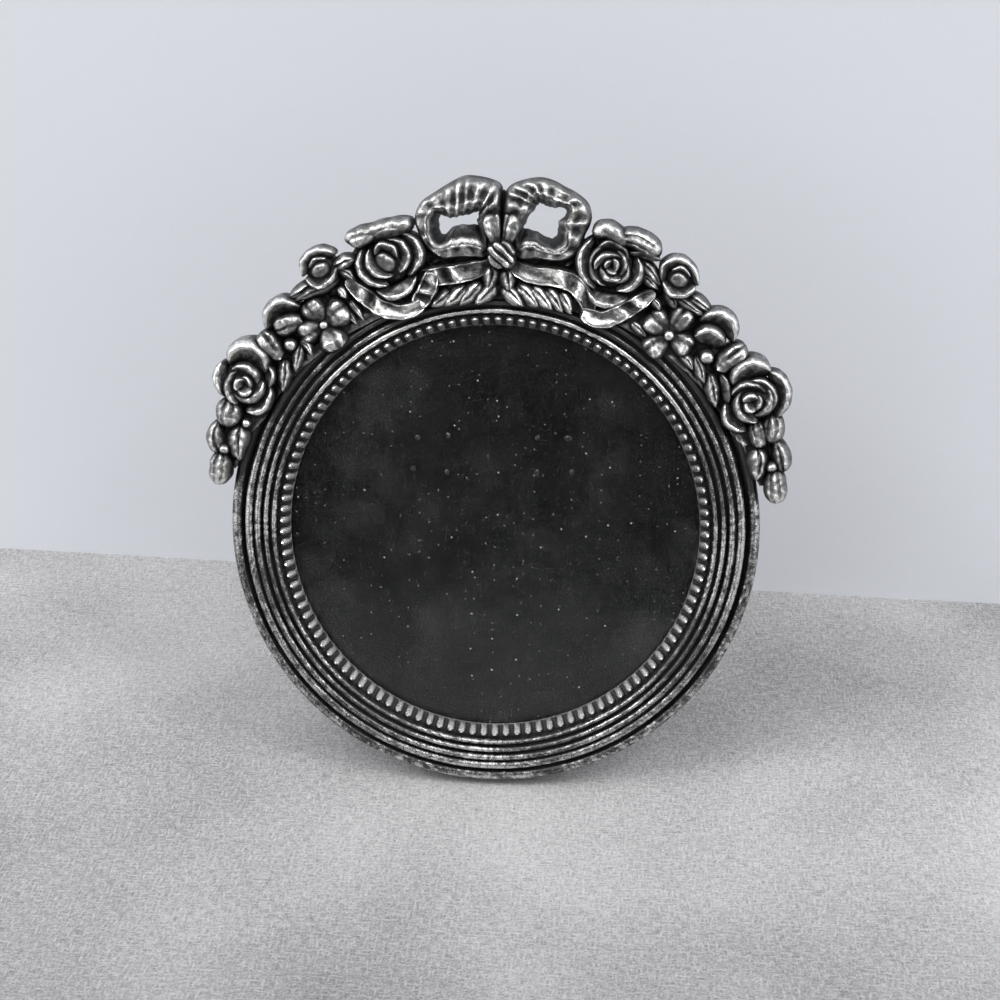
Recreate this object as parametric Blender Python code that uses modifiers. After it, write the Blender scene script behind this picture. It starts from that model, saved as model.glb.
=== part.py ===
"""Round pewter picture frame with a rose and ribbon crest, standing on a hinged strut.

Pieces are modelled in face coordinates: X to the right, Y up the face and Z forward
of the back plane, with the ring's centre at 0. One empty leans them all back.
"""
import bpy
import bmesh
import math
from mathutils import Matrix, Vector

MM = 0.001

# Fits and stance
CLEAR = 0.3 * MM                    # gap left wherever one piece seats on or runs in another
LEAN = math.radians(15.0)           # how far the frame leans back from upright
STRUT_OPEN = math.radians(29.0)     # angle between the open strut and the back
CUT = 1.0 * MM                      # how far a cutter runs past what it cuts
BITE = 0.1 * MM                     # how far the solids of one piece reach into each other
SHAVE = 0.001 * MM                  # taken off a knuckle's end, so that no two faces coincide
WELD = 0.01 * MM                    # points closer than this are one point
SHARP = math.radians(35)            # edges that turn more than this stay sharp

# Ring moulding, turned
SIGHT_RADIUS = 38.6 * MM            # inner edge of the lip in front of the glass
RING_SIDES = 60
SHELF_WIDTH = 3.3 * MM              # rebate shelf that the glass bears on
LIP_EDGE = 0.4 * MM                 # metal at the lip's thin inner edge
LEDGE_WIDTH = 2.08 * MM             # sloping ledge that carries the beads
LEDGE_RISE = 0.85 * MM
VALLEY_RISE = 2.1 * MM              # between the beads and the first reed, above the shelf
REEDS = (                           # centre from the ledge, half width of the crown, rise above the shelf
    (0.62 * MM, 0.20 * MM, 3.0 * MM),
    (2.12 * MM, 0.32 * MM, 3.1 * MM),
    (3.52 * MM, 0.32 * MM, 3.05 * MM),
    (4.92 * MM, 0.30 * MM, 2.7 * MM),
)
GROOVE_RISE = 2.2 * MM              # floor of the grooves between the reeds, above the shelf
QUIRK_WIDTH = 1.1 * MM              # from the last reed's centre to the deep groove outside it
QUIRK_RISE = 0.7 * MM
FLANGE_WIDTH = 2.7 * MM             # domed flange outside that groove
FLANGE_RISE = 1.5 * MM
FLANGE_DOME = ((0.30, 0.12 * MM), (0.62, 0.0), (0.90, 0.35 * MM))    # share of width, drop
FLANGE_EDGE_DROP = 1.2 * MM         # from the dome down to the top of the outer wall

# Beaded strip inside the reeds
BEAD_COUNT = 117
BEAD_STEPS = 3                      # columns of faces to a bead
BEAD_OVERHANG = 0.2 * MM            # how far the strip reaches inside the lip
BEAD_LAND = 0.25 * MM               # thickness of the strip at its inner edge
BEAD_RISE = 0.90 * MM               # crest of a bead above the strip
BEAD_FULLNESS = 0.7                 # power of the swell, less than 1 fills out the bead's crown

# Sandwich in the rebate, from the front
GLASS_THICK = 1.5 * MM
LINER_THICK = 0.4 * MM
BOARD_THICK = 1.5 * MM

# Pronged hinges between backboard and strut
LEAF_HEIGHT_ON_FACE = 12.0 * MM     # middle of the fixed leaves above the ring's centre
LEAF_THICK = 0.5 * MM
LEAF_WIDTH = 7.8 * MM
LEAF_INSET = 1.6 * MM               # a leaf's side inside the strut's
LEAF_ROOT = 0.2 * MM                # near edge of a leaf's plate from the axis, inside the knuckles
LEAF_ABOVE_PRONGS = 1.6 * MM        # from the knuckles to the middle of the nearer prongs
LEAF_PAST_PRONGS = 0.9 * MM         # from the middle of the farther prongs to the leaf's end
PRONG_PITCH = 6.2 * MM              # the four prongs stand in a square
PRONG_WIDE = 0.8 * MM
PRONG_DEEP = 0.5 * MM
CLINCH_LENGTH = 1.6 * MM
CLINCH_THICK = 0.3 * MM
CLINCH_SPREAD = 0.05 * MM           # a clinched end is hammered this much wider on each side
KNUCKLE_RADIUS = 1.6 * MM
STRUT_LEAF_INSET = 0.35 * MM        # outer face of a strut leaf inside the skin of its knuckle
PIN_RADIUS = 0.7 * MM
PIN_HEAD = 0.5 * MM                 # peened end of the pin beyond the knuckles
PIN_HEAD_RADIUS = 1.15 * MM
KNUCKLE_SIDES = 12

# Strut
STRUT_THICK = 1.6 * MM
STRUT_TOP_WIDTH = 33.6 * MM
STRUT_FOOT_WIDTH = 25.0 * MM
STRUT_WAIST = 1.6 * MM              # how far the sides draw in between hinge and foot
STRUT_CORNER = 2.0 * MM
CORNER_STEPS = 4
SIDE_STEPS = 7
TONGUE_CHAMFER = 0.8 * MM

# Turn buttons on the back
BUTTON_ANGLES = (42.0, 138.0, 222.0, 318.0)    # degrees clockwise from the top
BUTTON_SETBACK = 3.5 * MM           # pivots outside the rebate
BUTTON_REACH = 6.6 * MM
BUTTON_TAIL = 1.9 * MM              # radius of the end that the rivet goes through
BUTTON_TIP = 1.37 * MM              # radius of the end that holds the backboard
BUTTON_THICK = 0.8 * MM
TAIL_STEPS = 8
TIP_STEPS = 6
RIVET_RADIUS = 0.8 * MM
RIVET_HEAD_RADIUS = 1.7 * MM
RIVET_HEAD_HEIGHT = 0.8 * MM
RIVET_HEAD_DOME = ((0.80, 0.60), (0.42, 0.93))    # shares of its radius and of its height
RIVET_DEPTH = 2.6 * MM
RIVET_SIDES = 10

# Crest of roses and ribbon, drawn in mm for a ring of 49.4 mm radius
WEB_BACK_DROP = 0.4 * MM            # flat back of the crest below the top of the ring's outer wall
WEB_RISE = 0.8 * MM                 # ground that the flowers stand on above the highest reed
BURIED = 0.35                       # how far the widest part of a flower lies in the ground
LEAF_FULLNESS = 1.18                # width of a leaf in the ground to its traced width
LOOP_SUNK = 0.7                     # middle of the ribbon's loops below the ground
LOOP_HALF_THICK = 2.1
WEB_EDGE = (                        # degrees from the top, inner radius, outer radius (mm)
    (0, 42.3, 50.5), (8, 42.3, 51.6), (14, 42.4, 54.2), (17, 42.6, 57.9), (22, 42.9, 58.5),
    (27, 43.6, 58.3), (30, 44.0, 56.4), (34, 44.2, 57.4), (37, 44.5, 56.6), (41, 44.8, 55.0),
    (46, 45.2, 55.3), (52, 45.8, 53.5), (57, 46.3, 56.2), (62, 46.6, 56.6), (66, 46.8, 56.0),
    (70, 48.0, 54.0), (76, 48.4, 53.2), (80, 49.4, 52.4),
)

# Domed leaves, petals and buds: x, y of the middle, length, width, way the tip points
# in degrees from +X, rise of the crown above the ground (all lengths mm)
LEAVES = (
    (-51.5, 9.4, 6.2, 3.6, -100, 1.2), (-52.2, 15.5, 6.2, 2.8, 100, 1.0),
    (-48.2, 14.2, 6.2, 3.4, -85, 1.2), (-49.8, 19.9, 5.4, 4.4, -80, 1.6),
    (-39.4, 27.2, 5.8, 2.2, -95, 1.3), (-36.7, 30.6, 5.0, 1.7, -100, 1.2),
    (-42.1, 32.8, 4.8, 3.3, 125, 1.9), (-38.4, 36.6, 5.0, 3.3, 20, 2.1),
    (-34.2, 35.2, 3.8, 2.9, -60, 1.8), (-30.1, 34.8, 4.4, 3.2, 60, 1.8),
    (-33.6, 39.8, 4.2, 2.9, 35, 1.9), (-29.1, 39.6, 4.0, 3.2, -40, 2.0),
    (-33.5, 43.3, 8.6, 2.1, 208, 1.6), (-36.2, 42.9, 4.8, 2.1, 215, 1.2),
    (-28.4, 48.1, 4.2, 2.5, 20, 2.0),
    (-1.6, 46.5, 4.2, 2.1, -100, 1.8), (1.3, 46.2, 4.2, 2.1, -80, 1.8),
    (-2.4, 43.4, 4.8, 1.8, 225, 1.5), (-5.2, 43.3, 5.2, 1.8, 228, 1.5),
    (-7.9, 42.8, 5.0, 1.8, 224, 1.5), (-10.5, 42.2, 4.2, 1.8, 220, 1.4),
    (2.3, 43.1, 4.8, 1.8, -42, 1.5), (5.2, 43.2, 5.2, 1.8, -46, 1.5),
    (7.7, 42.8, 5.0, 1.7, -48, 1.5), (10.0, 42.5, 4.6, 1.7, -55, 1.4),
    (12.1, 42.2, 3.8, 1.7, -62, 1.3),
    (27.3, 48.1, 5.6, 1.9, -50, 1.7), (28.8, 39.6, 4.8, 2.7, 15, 1.9),
    (33.0, 39.4, 5.4, 2.9, -55, 1.9), (28.9, 35.0, 5.4, 2.5, -42, 1.8),
    (33.7, 35.4, 4.2, 3.0, 80, 1.8), (34.2, 42.4, 6.0, 1.9, -32, 1.5),
    (36.2, 42.8, 5.6, 2.1, -38, 1.3), (38.3, 36.6, 5.4, 3.1, -15, 2.1),
    (42.3, 32.9, 5.6, 3.4, 42, 2.0), (36.7, 30.7, 5.0, 1.7, -70, 1.2),
    (39.2, 26.9, 6.0, 2.2, -75, 1.3), (47.9, 19.3, 5.0, 2.7, -70, 1.5),
    (50.6, 20.4, 5.0, 3.8, -110, 1.6), (52.2, 15.5, 6.2, 2.8, 80, 1.0),
    (48.1, 13.5, 5.6, 2.9, -92, 1.2), (51.5, 9.4, 6.2, 3.6, -80, 1.2),
)

# Flower centres and berries: x, y, radius, rise of the crown (mm)
BERRIES = (
    (-32.0, 36.9, 1.0, 2.1), (-38.2, 33.1, 1.1, 1.7), (-50.6, 13.0, 1.1, 1.1),
    (-12.6, 43.2, 1.1, 1.2), (31.0, 36.9, 1.1, 2.1), (38.0, 33.1, 1.3, 1.9),
    (50.6, 13.0, 1.1, 1.1),
)

# Curled petal edges and ribbon ends: start, middle, end, thickness, rise of the crown (mm)
PETALS = (
    ((-27.2, 52.9), (-22.0, 54.5), (-16.9, 55.3), 3.5, 3.2),
    ((-16.4, 53.4), (-15.1, 50.6), (-17.0, 47.2), 2.2, 2.6),
    ((-24.6, 50.0), (-24.2, 46.3), (-20.2, 45.0), 2.2, 2.4),
    ((-22.6, 44.2), (-18.8, 43.2), (-15.4, 46.6), 2.3, 2.0),
    ((-35.6, 46.4), (-34.2, 49.5), (-30.4, 49.7), 1.9, 2.4),
    ((-34.8, 45.4), (-31.6, 44.9), (-29.8, 47.4), 1.9, 2.2),
    ((-42.2, 36.4), (-41.0, 39.7), (-36.8, 40.0), 2.7, 2.2),
    ((-49.6, 29.9), (-46.5, 32.0), (-43.3, 29.4), 3.3, 2.6),
    ((-50.9, 29.0), (-51.7, 26.0), (-50.4, 23.4), 2.2, 2.0),
    ((-46.0, 20.8), (-43.0, 22.0), (-42.1, 24.6), 2.2, 1.8),
    ((-42.8, 29.2), (-42.0, 27.3), (-42.3, 25.2), 1.7, 1.7),
    ((17.0, 55.7), (19.4, 55.4), (22.0, 54.4), 3.3, 3.1),
    ((22.8, 53.9), (26.0, 53.4), (28.4, 52.2), 3.3, 3.0),
    ((15.7, 52.9), (15.5, 48.8), (17.9, 45.6), 2.2, 2.4),
    ((25.0, 50.3), (24.5, 46.6), (21.8, 44.3), 2.2, 2.4),
    ((16.2, 45.0), (19.2, 43.1), (23.2, 43.9), 2.2, 2.0),
    ((35.4, 45.6), (35.0, 48.9), (31.0, 49.8), 1.9, 2.4),
    ((34.6, 44.8), (31.4, 44.8), (29.9, 47.4), 1.9, 2.2),
    ((37.0, 39.6), (40.6, 39.9), (42.3, 36.7), 2.7, 2.2),
    ((43.6, 29.0), (46.4, 31.6), (50.2, 30.1), 3.3, 2.6),
    ((50.2, 29.4), (51.9, 26.6), (51.2, 23.2), 2.3, 2.0),
    ((42.0, 24.2), (42.7, 21.4), (45.2, 20.2), 2.2, 1.8),
)

# Roses: x, y, radius of the flower's body, rise of its dome (mm)
ROSES = (
    (-20.2, 49.2, 4.5, 2.4), (20.3, 49.3, 4.5, 2.4), (-46.8, 25.6, 4.1, 2.2),
    (46.9, 25.1, 4.1, 2.2), (-32.7, 47.4, 2.7, 2.0), (32.7, 47.3, 2.7, 2.0),
)
ROSE_RIM = 1.5                      # thickness of a rose's inner petals (mm)
RIM_REACH = 0.56                    # radius they lie on to the body's
RIM_STARTS = (200.0, 20.0)          # degrees from +X at which they start
RIM_ARC = 150.0                     # degrees that each goes round
RIM_RISE = 0.9                      # their crowns above the dome (mm)
BUD_SIZE = 0.3                      # radius of the bud to the body's
BUD_RISE = 1.0                      # its crown above the dome (mm)

# Ribbon: middle line points with half widths (mm); the loops close on the knot
LEFT_LOOP = (
    (-0.9, 52.2, 1.1), (-2.1, 55.4, 1.3), (-2.2, 59.0, 1.9), (-5.2, 61.1, 3.0),
    (-9.6, 60.1, 2.9), (-13.2, 57.4, 2.2), (-13.3, 54.3, 1.9), (-11.0, 51.9, 1.6),
    (-7.2, 51.2, 1.5), (-2.6, 50.9, 1.2),
)
RIGHT_LOOP = (
    (1.4, 52.3, 1.1), (2.4, 55.4, 1.3), (2.9, 59.3, 2.1), (6.6, 61.9, 2.4),
    (11.2, 61.1, 2.4), (14.2, 58.0, 2.1), (13.4, 54.2, 2.2), (11.2, 51.9, 1.7),
    (7.2, 51.1, 1.5), (3.0, 50.5, 1.2),
)
TAILS = (
    ((-1.4, 48.9, 0.9), (-5.2, 47.2, 1.5), (-10.0, 46.5, 1.6), (-14.4, 46.3, 1.3)),
    ((-14.6, 46.0, 1.1), (-15.8, 43.5, 1.3), (-14.4, 41.4, 1.2), (-13.8, 39.9, 0.9)),
    ((-14.2, 39.8, 0.9), (-18.0, 39.1, 1.3), (-21.2, 39.9, 1.5), (-24.6, 42.2, 1.5), (-28.0, 44.3, 0.9)),
    ((2.0, 48.8, 0.9), (5.5, 47.0, 1.5), (10.0, 46.6, 1.6), (14.4, 46.0, 1.3)),
    ((14.4, 45.7, 1.1), (16.0, 42.9, 1.3), (15.6, 40.6, 1.0)),
    ((15.2, 39.8, 0.9), (18.6, 39.2, 1.4), (22.0, 40.5, 1.5), (25.2, 42.6, 1.4), (27.6, 43.9, 0.9)),
)
TAIL_RISE = 2.0                     # crowns of the ribbon ends above the ground (mm)
KNOT = (0.3, 50.4, 5.4, 4.8, 3.4)   # x, y, width, height on the face, rise (mm)
KNOT_TURN = math.radians(-35)
KNOT_WRAPS = (                      # start, middle, end, thickness and rise of its ridges (mm)
    ((-1.8, 50.8), (-0.3, 49.7), (1.2, 48.6), 1.1, 3.5),
    ((-1.1, 51.6), (0.4, 50.5), (1.9, 49.4), 1.1, 3.7),
    ((-0.4, 52.5), (1.1, 51.4), (2.6, 50.3), 1.1, 3.5),
)
LEAF_NARROWING = 0.45               # how much of its width a leaf loses at the tip
PETAL_END = 0.45                    # thickness of a petal edge at its ends to its middle
LEAF_SIDES = 6                      # facets about a leaf or berry, a petal edge and a rose
PETAL_SIDES = 6
ROSE_SIDES = 8
CREST_FACETS = 0.68                 # share of the crest's facets that is kept

# Heights and places that follow from the sizes above, in face coordinates
REBATE_RADIUS = SIGHT_RADIUS + SHELF_WIDTH                  # seat of glass, liner and backboard
LEDGE_RADIUS = SIGHT_RADIUS + LEDGE_WIDTH
QUIRK_RADIUS = LEDGE_RADIUS + REEDS[-1][0] + QUIRK_WIDTH
RING_RADIUS = QUIRK_RADIUS + FLANGE_WIDTH
CREST_UNIT = RING_RADIUS / 49.4                             # a millimetre of the crest's tables
HINGE_SPACING = STRUT_TOP_WIDTH - 2 * LEAF_INSET - LEAF_WIDTH    # between the middles of the two hinges
TONGUE_WIDTH = HINGE_SPACING - LEAF_WIDTH - 2 * (PIN_HEAD + 2 * CLEAR)    # its top edge is the stop
BUTTON_PIVOT_RADIUS = REBATE_RADIUS + BUTTON_SETBACK
RING_FLAT = RING_RADIUS * math.cos(math.pi / RING_SIDES)    # the ring stands on a flat of its facets
GLASS_RADIUS = REBATE_RADIUS - CLEAR
LINER_BACK = BOARD_THICK + CLEAR + CLINCH_THICK + CLEAR
GLASS_BACK = LINER_BACK + LINER_THICK + CLEAR
SHELF_HEIGHT = GLASS_BACK + GLASS_THICK + CLEAR             # rebate shelf above the back plane
REED_TOP = SHELF_HEIGHT + max(rise for _, _, rise in REEDS)
FLANGE_CREST = SHELF_HEIGHT + FLANGE_RISE
FLANGE_EDGE = FLANGE_CREST - FLANGE_EDGE_DROP
WEB_BACK = FLANGE_EDGE - WEB_BACK_DROP
WEB_TOP = REED_TOP + WEB_RISE
FLOWER_ROOT = WEB_TOP - BURIED * CREST_UNIT                 # height of the flowers' widest part
AXIS_BEHIND = CLEAR + LEAF_THICK + KNUCKLE_RADIUS - BITE    # strut's axis behind the back plane
LEAF_DROP = PRONG_PITCH / 2 + KNUCKLE_RADIUS + LEAF_ABOVE_PRONGS    # middle of a leaf from its axis
LEAF_LENGTH = LEAF_DROP + PRONG_PITCH / 2 + LEAF_PAST_PRONGS
AXIS_HEIGHT = LEAF_HEIGHT_ON_FACE - LEAF_DROP
STRUT_LEAF_BACK = -KNUCKLE_RADIUS + STRUT_LEAF_INSET        # outer face of the strut's leaves from the axis
STRUT_OUTER = STRUT_LEAF_BACK + LEAF_THICK + CLEAR          # outer face of the strut from the axis
STRUT_INNER = STRUT_OUTER + STRUT_THICK
STRUT_SHOULDER = -(KNUCKLE_RADIUS + CLEAR)                  # top edge of the strut beside the tongue
HEEL = (AXIS_BEHIND - CLEAR - STRUT_INNER * math.cos(STRUT_OPEN)) / math.sin(STRUT_OPEN)
AXIS_ABOVE_TABLE = (AXIS_HEIGHT + RING_FLAT) * math.cos(LEAN) - AXIS_BEHIND * math.sin(LEAN)
BUTTON_BACK = -(CLEAR + BUTTON_THICK)


def clear_scene():
    for obj in list(bpy.data.objects):
        bpy.data.objects.remove(obj, do_unlink=True)


def new_collection(name):
    collection = bpy.data.collections.new(name)
    bpy.context.scene.collection.children.link(collection)
    return collection


def finish(name, rgb, roughness, metallic, transmission=0.0):
    material = bpy.data.materials.new(name)
    material.use_nodes = True
    shader = material.node_tree.nodes["Principled BSDF"]
    shader.inputs["Base Color"].default_value = (*rgb, 1.0)
    shader.inputs["Roughness"].default_value = roughness
    shader.inputs["Metallic"].default_value = metallic
    shader.inputs["Transmission Weight"].default_value = transmission
    return material


def empty(name, parent, location=(0, 0, 0), rotation=(0, 0, 0)):
    obj = bpy.data.objects.new(name, None)
    pieces.objects.link(obj)
    obj.parent = parent
    obj.location = location
    obj.rotation_euler = rotation
    return obj


def place(bm, name, parent, material=None, smooth=False):
    """Make an object from a bmesh, as a piece with a material or as a hidden guide."""
    bmesh.ops.recalc_face_normals(bm, faces=bm.faces)
    mesh = bpy.data.meshes.new(name)
    bm.to_mesh(mesh)
    bm.free()
    obj = bpy.data.objects.new(name, mesh)
    obj.parent = parent
    if material:
        mesh.materials.append(material)
        pieces.objects.link(obj)
        if smooth:
            mesh.shade_smooth()
            mesh.set_sharp_from_angle(angle=SHARP)
    else:
        cutters.objects.link(obj)
        obj.hide_render = True
        obj.display_type = 'WIRE'
    return obj


def boolean(obj, other, operation='DIFFERENCE', self_overlap=False):
    mod = obj.modifiers.new(operation.title(), 'BOOLEAN')
    mod.operation = operation
    mod.solver = 'EXACT'
    mod.use_self = self_overlap
    mod.object = other


def add_box(bm, low, high):
    middle = (Vector(low) + Vector(high)) / 2
    size = Vector(high) - Vector(low)
    matrix = Matrix.Translation(middle) @ Matrix.Diagonal((*size, 1.0))
    bmesh.ops.create_cube(bm, size=1.0, matrix=matrix)


def add_cylinder(bm, start, end, radius, sides):
    start = Vector(start)
    run = Vector(end) - start
    turn = run.to_track_quat('Z', 'Y').to_matrix().to_4x4()
    matrix = Matrix.Translation(start + run / 2) @ turn
    bmesh.ops.create_cone(bm, cap_ends=True, segments=sides, radius1=radius, radius2=radius,
                          depth=run.length, matrix=matrix)


def turned(name, outline, parent, material=None, sides=RING_SIDES, location=(0, 0, 0)):
    """Turn an outline of (radius, height) points about the face's normal. One that
    starts and ends on the axis stays open there, any other is closed into a ring."""
    mesh = bpy.data.meshes.new(name)
    points = [(radius, 0.0, height) for radius, height in outline]
    edges = [(i, i + 1) for i in range(len(points) - 1)]
    if outline[0][0] > 0.0:
        edges.append((len(points) - 1, 0))
    mesh.from_pydata(points, edges, [])
    obj = bpy.data.objects.new(name, mesh)
    obj.parent = parent
    obj.location = location
    # half a facet of turn leaves a flat, and not a corner, at the lowest point
    obj.rotation_euler = (0, 0, math.radians(90) + math.pi / sides)
    mod = obj.modifiers.new("Turn", 'SCREW')
    mod.axis = 'Z'
    mod.angle = math.tau
    mod.steps = sides
    mod.render_steps = sides
    mod.use_merge_vertices = True
    mod.merge_threshold = WELD
    if material:
        mesh.materials.append(material)
        pieces.objects.link(obj)
    else:
        cutters.objects.link(obj)
        obj.hide_render = True
        obj.display_type = 'WIRE'
    return obj


def disc(bm, radius, back, front, sides=RING_SIDES):
    add_cylinder(bm, (0, 0, back), (0, 0, front), radius, sides)


def on_face(angle, radius):
    """Face coordinates at an angle in degrees clockwise from the top."""
    turn = math.radians(angle)
    return radius * math.sin(turn), radius * math.cos(turn)


def ring_outline():
    """Section of the moulding, from the lip over the reeds, down the rim and along the back."""
    outline = [(SIGHT_RADIUS, SHELF_HEIGHT + LIP_EDGE),
               (LEDGE_RADIUS, SHELF_HEIGHT + LIP_EDGE + LEDGE_RISE),
               (LEDGE_RADIUS, SHELF_HEIGHT + VALLEY_RISE)]
    for index, (out, crown, rise) in enumerate(REEDS):
        centre = LEDGE_RADIUS + out
        outline += [(centre - crown, SHELF_HEIGHT + rise), (centre + crown, SHELF_HEIGHT + rise)]
        if index + 1 < len(REEDS):
            outline.append((LEDGE_RADIUS + (out + REEDS[index + 1][0]) / 2, SHELF_HEIGHT + GROOVE_RISE))
    outline.append((QUIRK_RADIUS, SHELF_HEIGHT + QUIRK_RISE))
    outline += [(QUIRK_RADIUS + share * FLANGE_WIDTH, FLANGE_CREST - drop) for share, drop in FLANGE_DOME]
    outline += [(RING_RADIUS, FLANGE_EDGE),
                (RING_RADIUS, 0.0),
                (REBATE_RADIUS, 0.0),
                (REBATE_RADIUS, SHELF_HEIGHT),
                (SIGHT_RADIUS, SHELF_HEIGHT)]
    return outline


def make_ring(face):
    ring = turned("ring_moulding", ring_outline(), face, pewter)
    bm = bmesh.new()
    for angle in BUTTON_ANGLES:
        x, y = on_face(angle, BUTTON_PIVOT_RADIUS)
        add_cylinder(bm, (x, y, -CUT), (x, y, RIVET_DEPTH + CLEAR), RIVET_RADIUS + CLEAR, RIVET_SIDES)
    boolean(ring, place(bm, "rivet_hole_cutter", face))


def make_beads(face):
    """Strip whose crest rises and falls once for each bead, as a grid closed both ways."""
    inner = SIGHT_RADIUS - BEAD_OVERHANG
    width = LEDGE_RADIUS - CLEAR - inner
    floor = SHELF_HEIGHT + LIP_EDGE + CLEAR
    slope = LEDGE_RISE * width / LEDGE_WIDTH
    top_rise = SHELF_HEIGHT + VALLEY_RISE - floor - BEAD_LAND
    section = (                     # share of the width, height, share of the bead's rise
        (0.0, floor, 0.0),
        (0.18, floor + BEAD_LAND + 0.18 * top_rise, 0.8),
        (0.66, floor + BEAD_LAND + 0.66 * top_rise, 1.0),
        (1.0, floor + BEAD_LAND + top_rise, 0.2),
        (1.0, floor + slope, 0.0),
    )
    columns = BEAD_COUNT * BEAD_STEPS
    bm = bmesh.new()
    grid = []
    for column in range(columns):
        turn = math.tau * column / columns
        swell = ((1 - math.cos(BEAD_COUNT * turn)) / 2) ** BEAD_FULLNESS
        ring = []
        for share, height, rise in section:
            radius = inner + share * width
            lift = height + rise * swell * BEAD_RISE
            ring.append(bm.verts.new((radius * math.sin(turn), radius * math.cos(turn), lift)))
        grid.append(ring)
    count = len(section)
    for column in range(columns):
        here, following = grid[column], grid[(column + 1) % columns]
        for row in range(count):
            after = (row + 1) % count
            bm.faces.new((here[row], following[row], following[after], here[after]))
    place(bm, "bead_ring", face, pewter, smooth=True)


def add_dome(bm, x, y, half_length, half_width, turn, rise, pointed=0.0, sides=LEAF_SIDES):
    """Half-sunk ellipsoid on the crest's ground; a pointed one narrows to its tip."""
    depth = rise + BURIED
    made = bmesh.ops.create_uvsphere(bm, u_segments=sides, v_segments=sides * 2 // 3, radius=1.0)
    lie = Matrix.Rotation(math.radians(90), 4, 'Y')
    for vert in made["verts"]:
        vert.co = lie @ vert.co
        along = vert.co.x
        narrow = 1.0 - pointed * max(along, 0.0) ** 2
        vert.co = Vector((along * half_length, vert.co.y * half_width * narrow, vert.co.z * depth))
    scale = Matrix.Scale(CREST_UNIT, 4)
    matrix = Matrix.Translation((0, 0, FLOWER_ROOT)) @ scale @ Matrix.Translation((x, y, 0))
    matrix = matrix @ Matrix.Rotation(turn, 4, 'Z')
    bmesh.ops.transform(bm, matrix=matrix, verts=made["verts"])


def add_band(bm, path, half_widths, middle, half_thick, closed=False, sides=PETAL_SIDES):
    """Loft elliptical sections of changing width along a line on the face. Lengths are
    those of the crest's tables, middle is the height of the line above the ground."""
    count = len(path)
    rings = []
    for index, point in enumerate(path):
        before = path[index - 1] if closed or index else point
        after = path[(index + 1) % count] if closed or index + 1 < count else point
        run = (Vector(after) - Vector(before)).normalized()
        across = Vector((-run.y, run.x))
        ring = []
        for side in range(sides):
            turn = math.tau * (side + 0.5) / sides
            offset = across * half_widths[index] * math.cos(turn)
            lift = WEB_TOP + (middle + half_thick[index] * math.sin(turn)) * CREST_UNIT
            x, y = (Vector(point) + offset) * CREST_UNIT
            ring.append(bm.verts.new((x, y, lift)))
        rings.append(ring)
    last = count if closed else count - 1
    for index in range(last):
        here, following = rings[index], rings[(index + 1) % count]
        for side in range(sides):
            beside = (side + 1) % sides
            bm.faces.new((here[side], here[beside], following[beside], following[side]))
    if not closed:
        bm.faces.new(rings[0])
        bm.faces.new(list(reversed(rings[-1])))


def smooth_line(points, steps):
    """Points on a Catmull-Rom curve through the given ones, each a tuple of numbers."""
    line = []
    last = len(points) - 1
    for index in range(last):
        p0 = points[max(index - 1, 0)]
        p1 = points[index]
        p2 = points[index + 1]
        p3 = points[min(index + 2, last)]
        for step in range(steps):
            t = step / steps
            line.append(tuple(
                0.5 * (2 * b + (c - a) * t + (2 * a - 5 * b + 4 * c - d) * t * t
                       + (3 * b - a - 3 * c + d) * t ** 3)
                for a, b, c, d in zip(p0, p1, p2, p3)))
    line.append(tuple(points[last]))
    return line


def add_petal(bm, start, middle, end, thick, rise):
    """Curled petal edge: a tapered roll through three points."""
    line = smooth_line((start, middle, end), 2)
    count = len(line) - 1
    radius = thick / 2
    shape = [PETAL_END + (1 - PETAL_END) * math.sin(math.pi * index / count)
             for index in range(count + 1)]
    depth = max(radius, rise + BURIED)
    add_band(bm, line, [radius * share for share in shape], rise - depth,
             [depth * share for share in shape])


def add_rose(bm, x, y, radius, rise):
    """Domed flower with two curled inner petals wrapped about a bud."""
    add_dome(bm, x, y, radius, radius, 0.0, rise, sides=ROSE_SIDES)
    ring = radius * RIM_REACH
    for start in RIM_STARTS:
        turns = [math.radians(start + RIM_ARC * share) for share in (0.0, 0.5, 1.0)]
        points = [(x + ring * math.cos(turn), y + ring * math.sin(turn)) for turn in turns]
        add_petal(bm, *points, ROSE_RIM, rise + RIM_RISE)
    bud = radius * BUD_SIZE
    add_dome(bm, x, y, bud, bud, 0.0, rise + BUD_RISE)


def add_tail(bm, points):
    line = smooth_line(points, 2)
    path = [(x, y) for x, y, _ in line]
    widths = [width for _, _, width in line]
    add_band(bm, path, widths, -BURIED, [TAIL_RISE + BURIED] * len(path))


def add_loop(bm, points):
    line = smooth_line(points, 2)
    path = [(x, y) for x, y, _ in line]
    widths = [width for _, _, width in line]
    add_band(bm, path, widths, -LOOP_SUNK, [LOOP_HALF_THICK] * len(path), closed=True)


def add_knot(bm):
    x, y, width, height, rise = KNOT
    add_dome(bm, x, y, width / 2, height / 2, KNOT_TURN, rise)
    for wrap in KNOT_WRAPS:
        add_petal(bm, *wrap)


def web_outline():
    """Scalloped ground of the crest, the same on both sides of the middle."""
    inner = [on_face(angle, low * CREST_UNIT) for angle, low, _ in WEB_EDGE]
    outer = [on_face(angle, high * CREST_UNIT) for angle, _, high in WEB_EDGE]
    right = list(reversed(inner[1:])) + inner[:1]
    left = [(-x, y) for x, y in inner[1:]]
    left_outer = [(-x, y) for x, y in reversed(outer[1:])]
    return right + left + left_outer + outer


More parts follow.
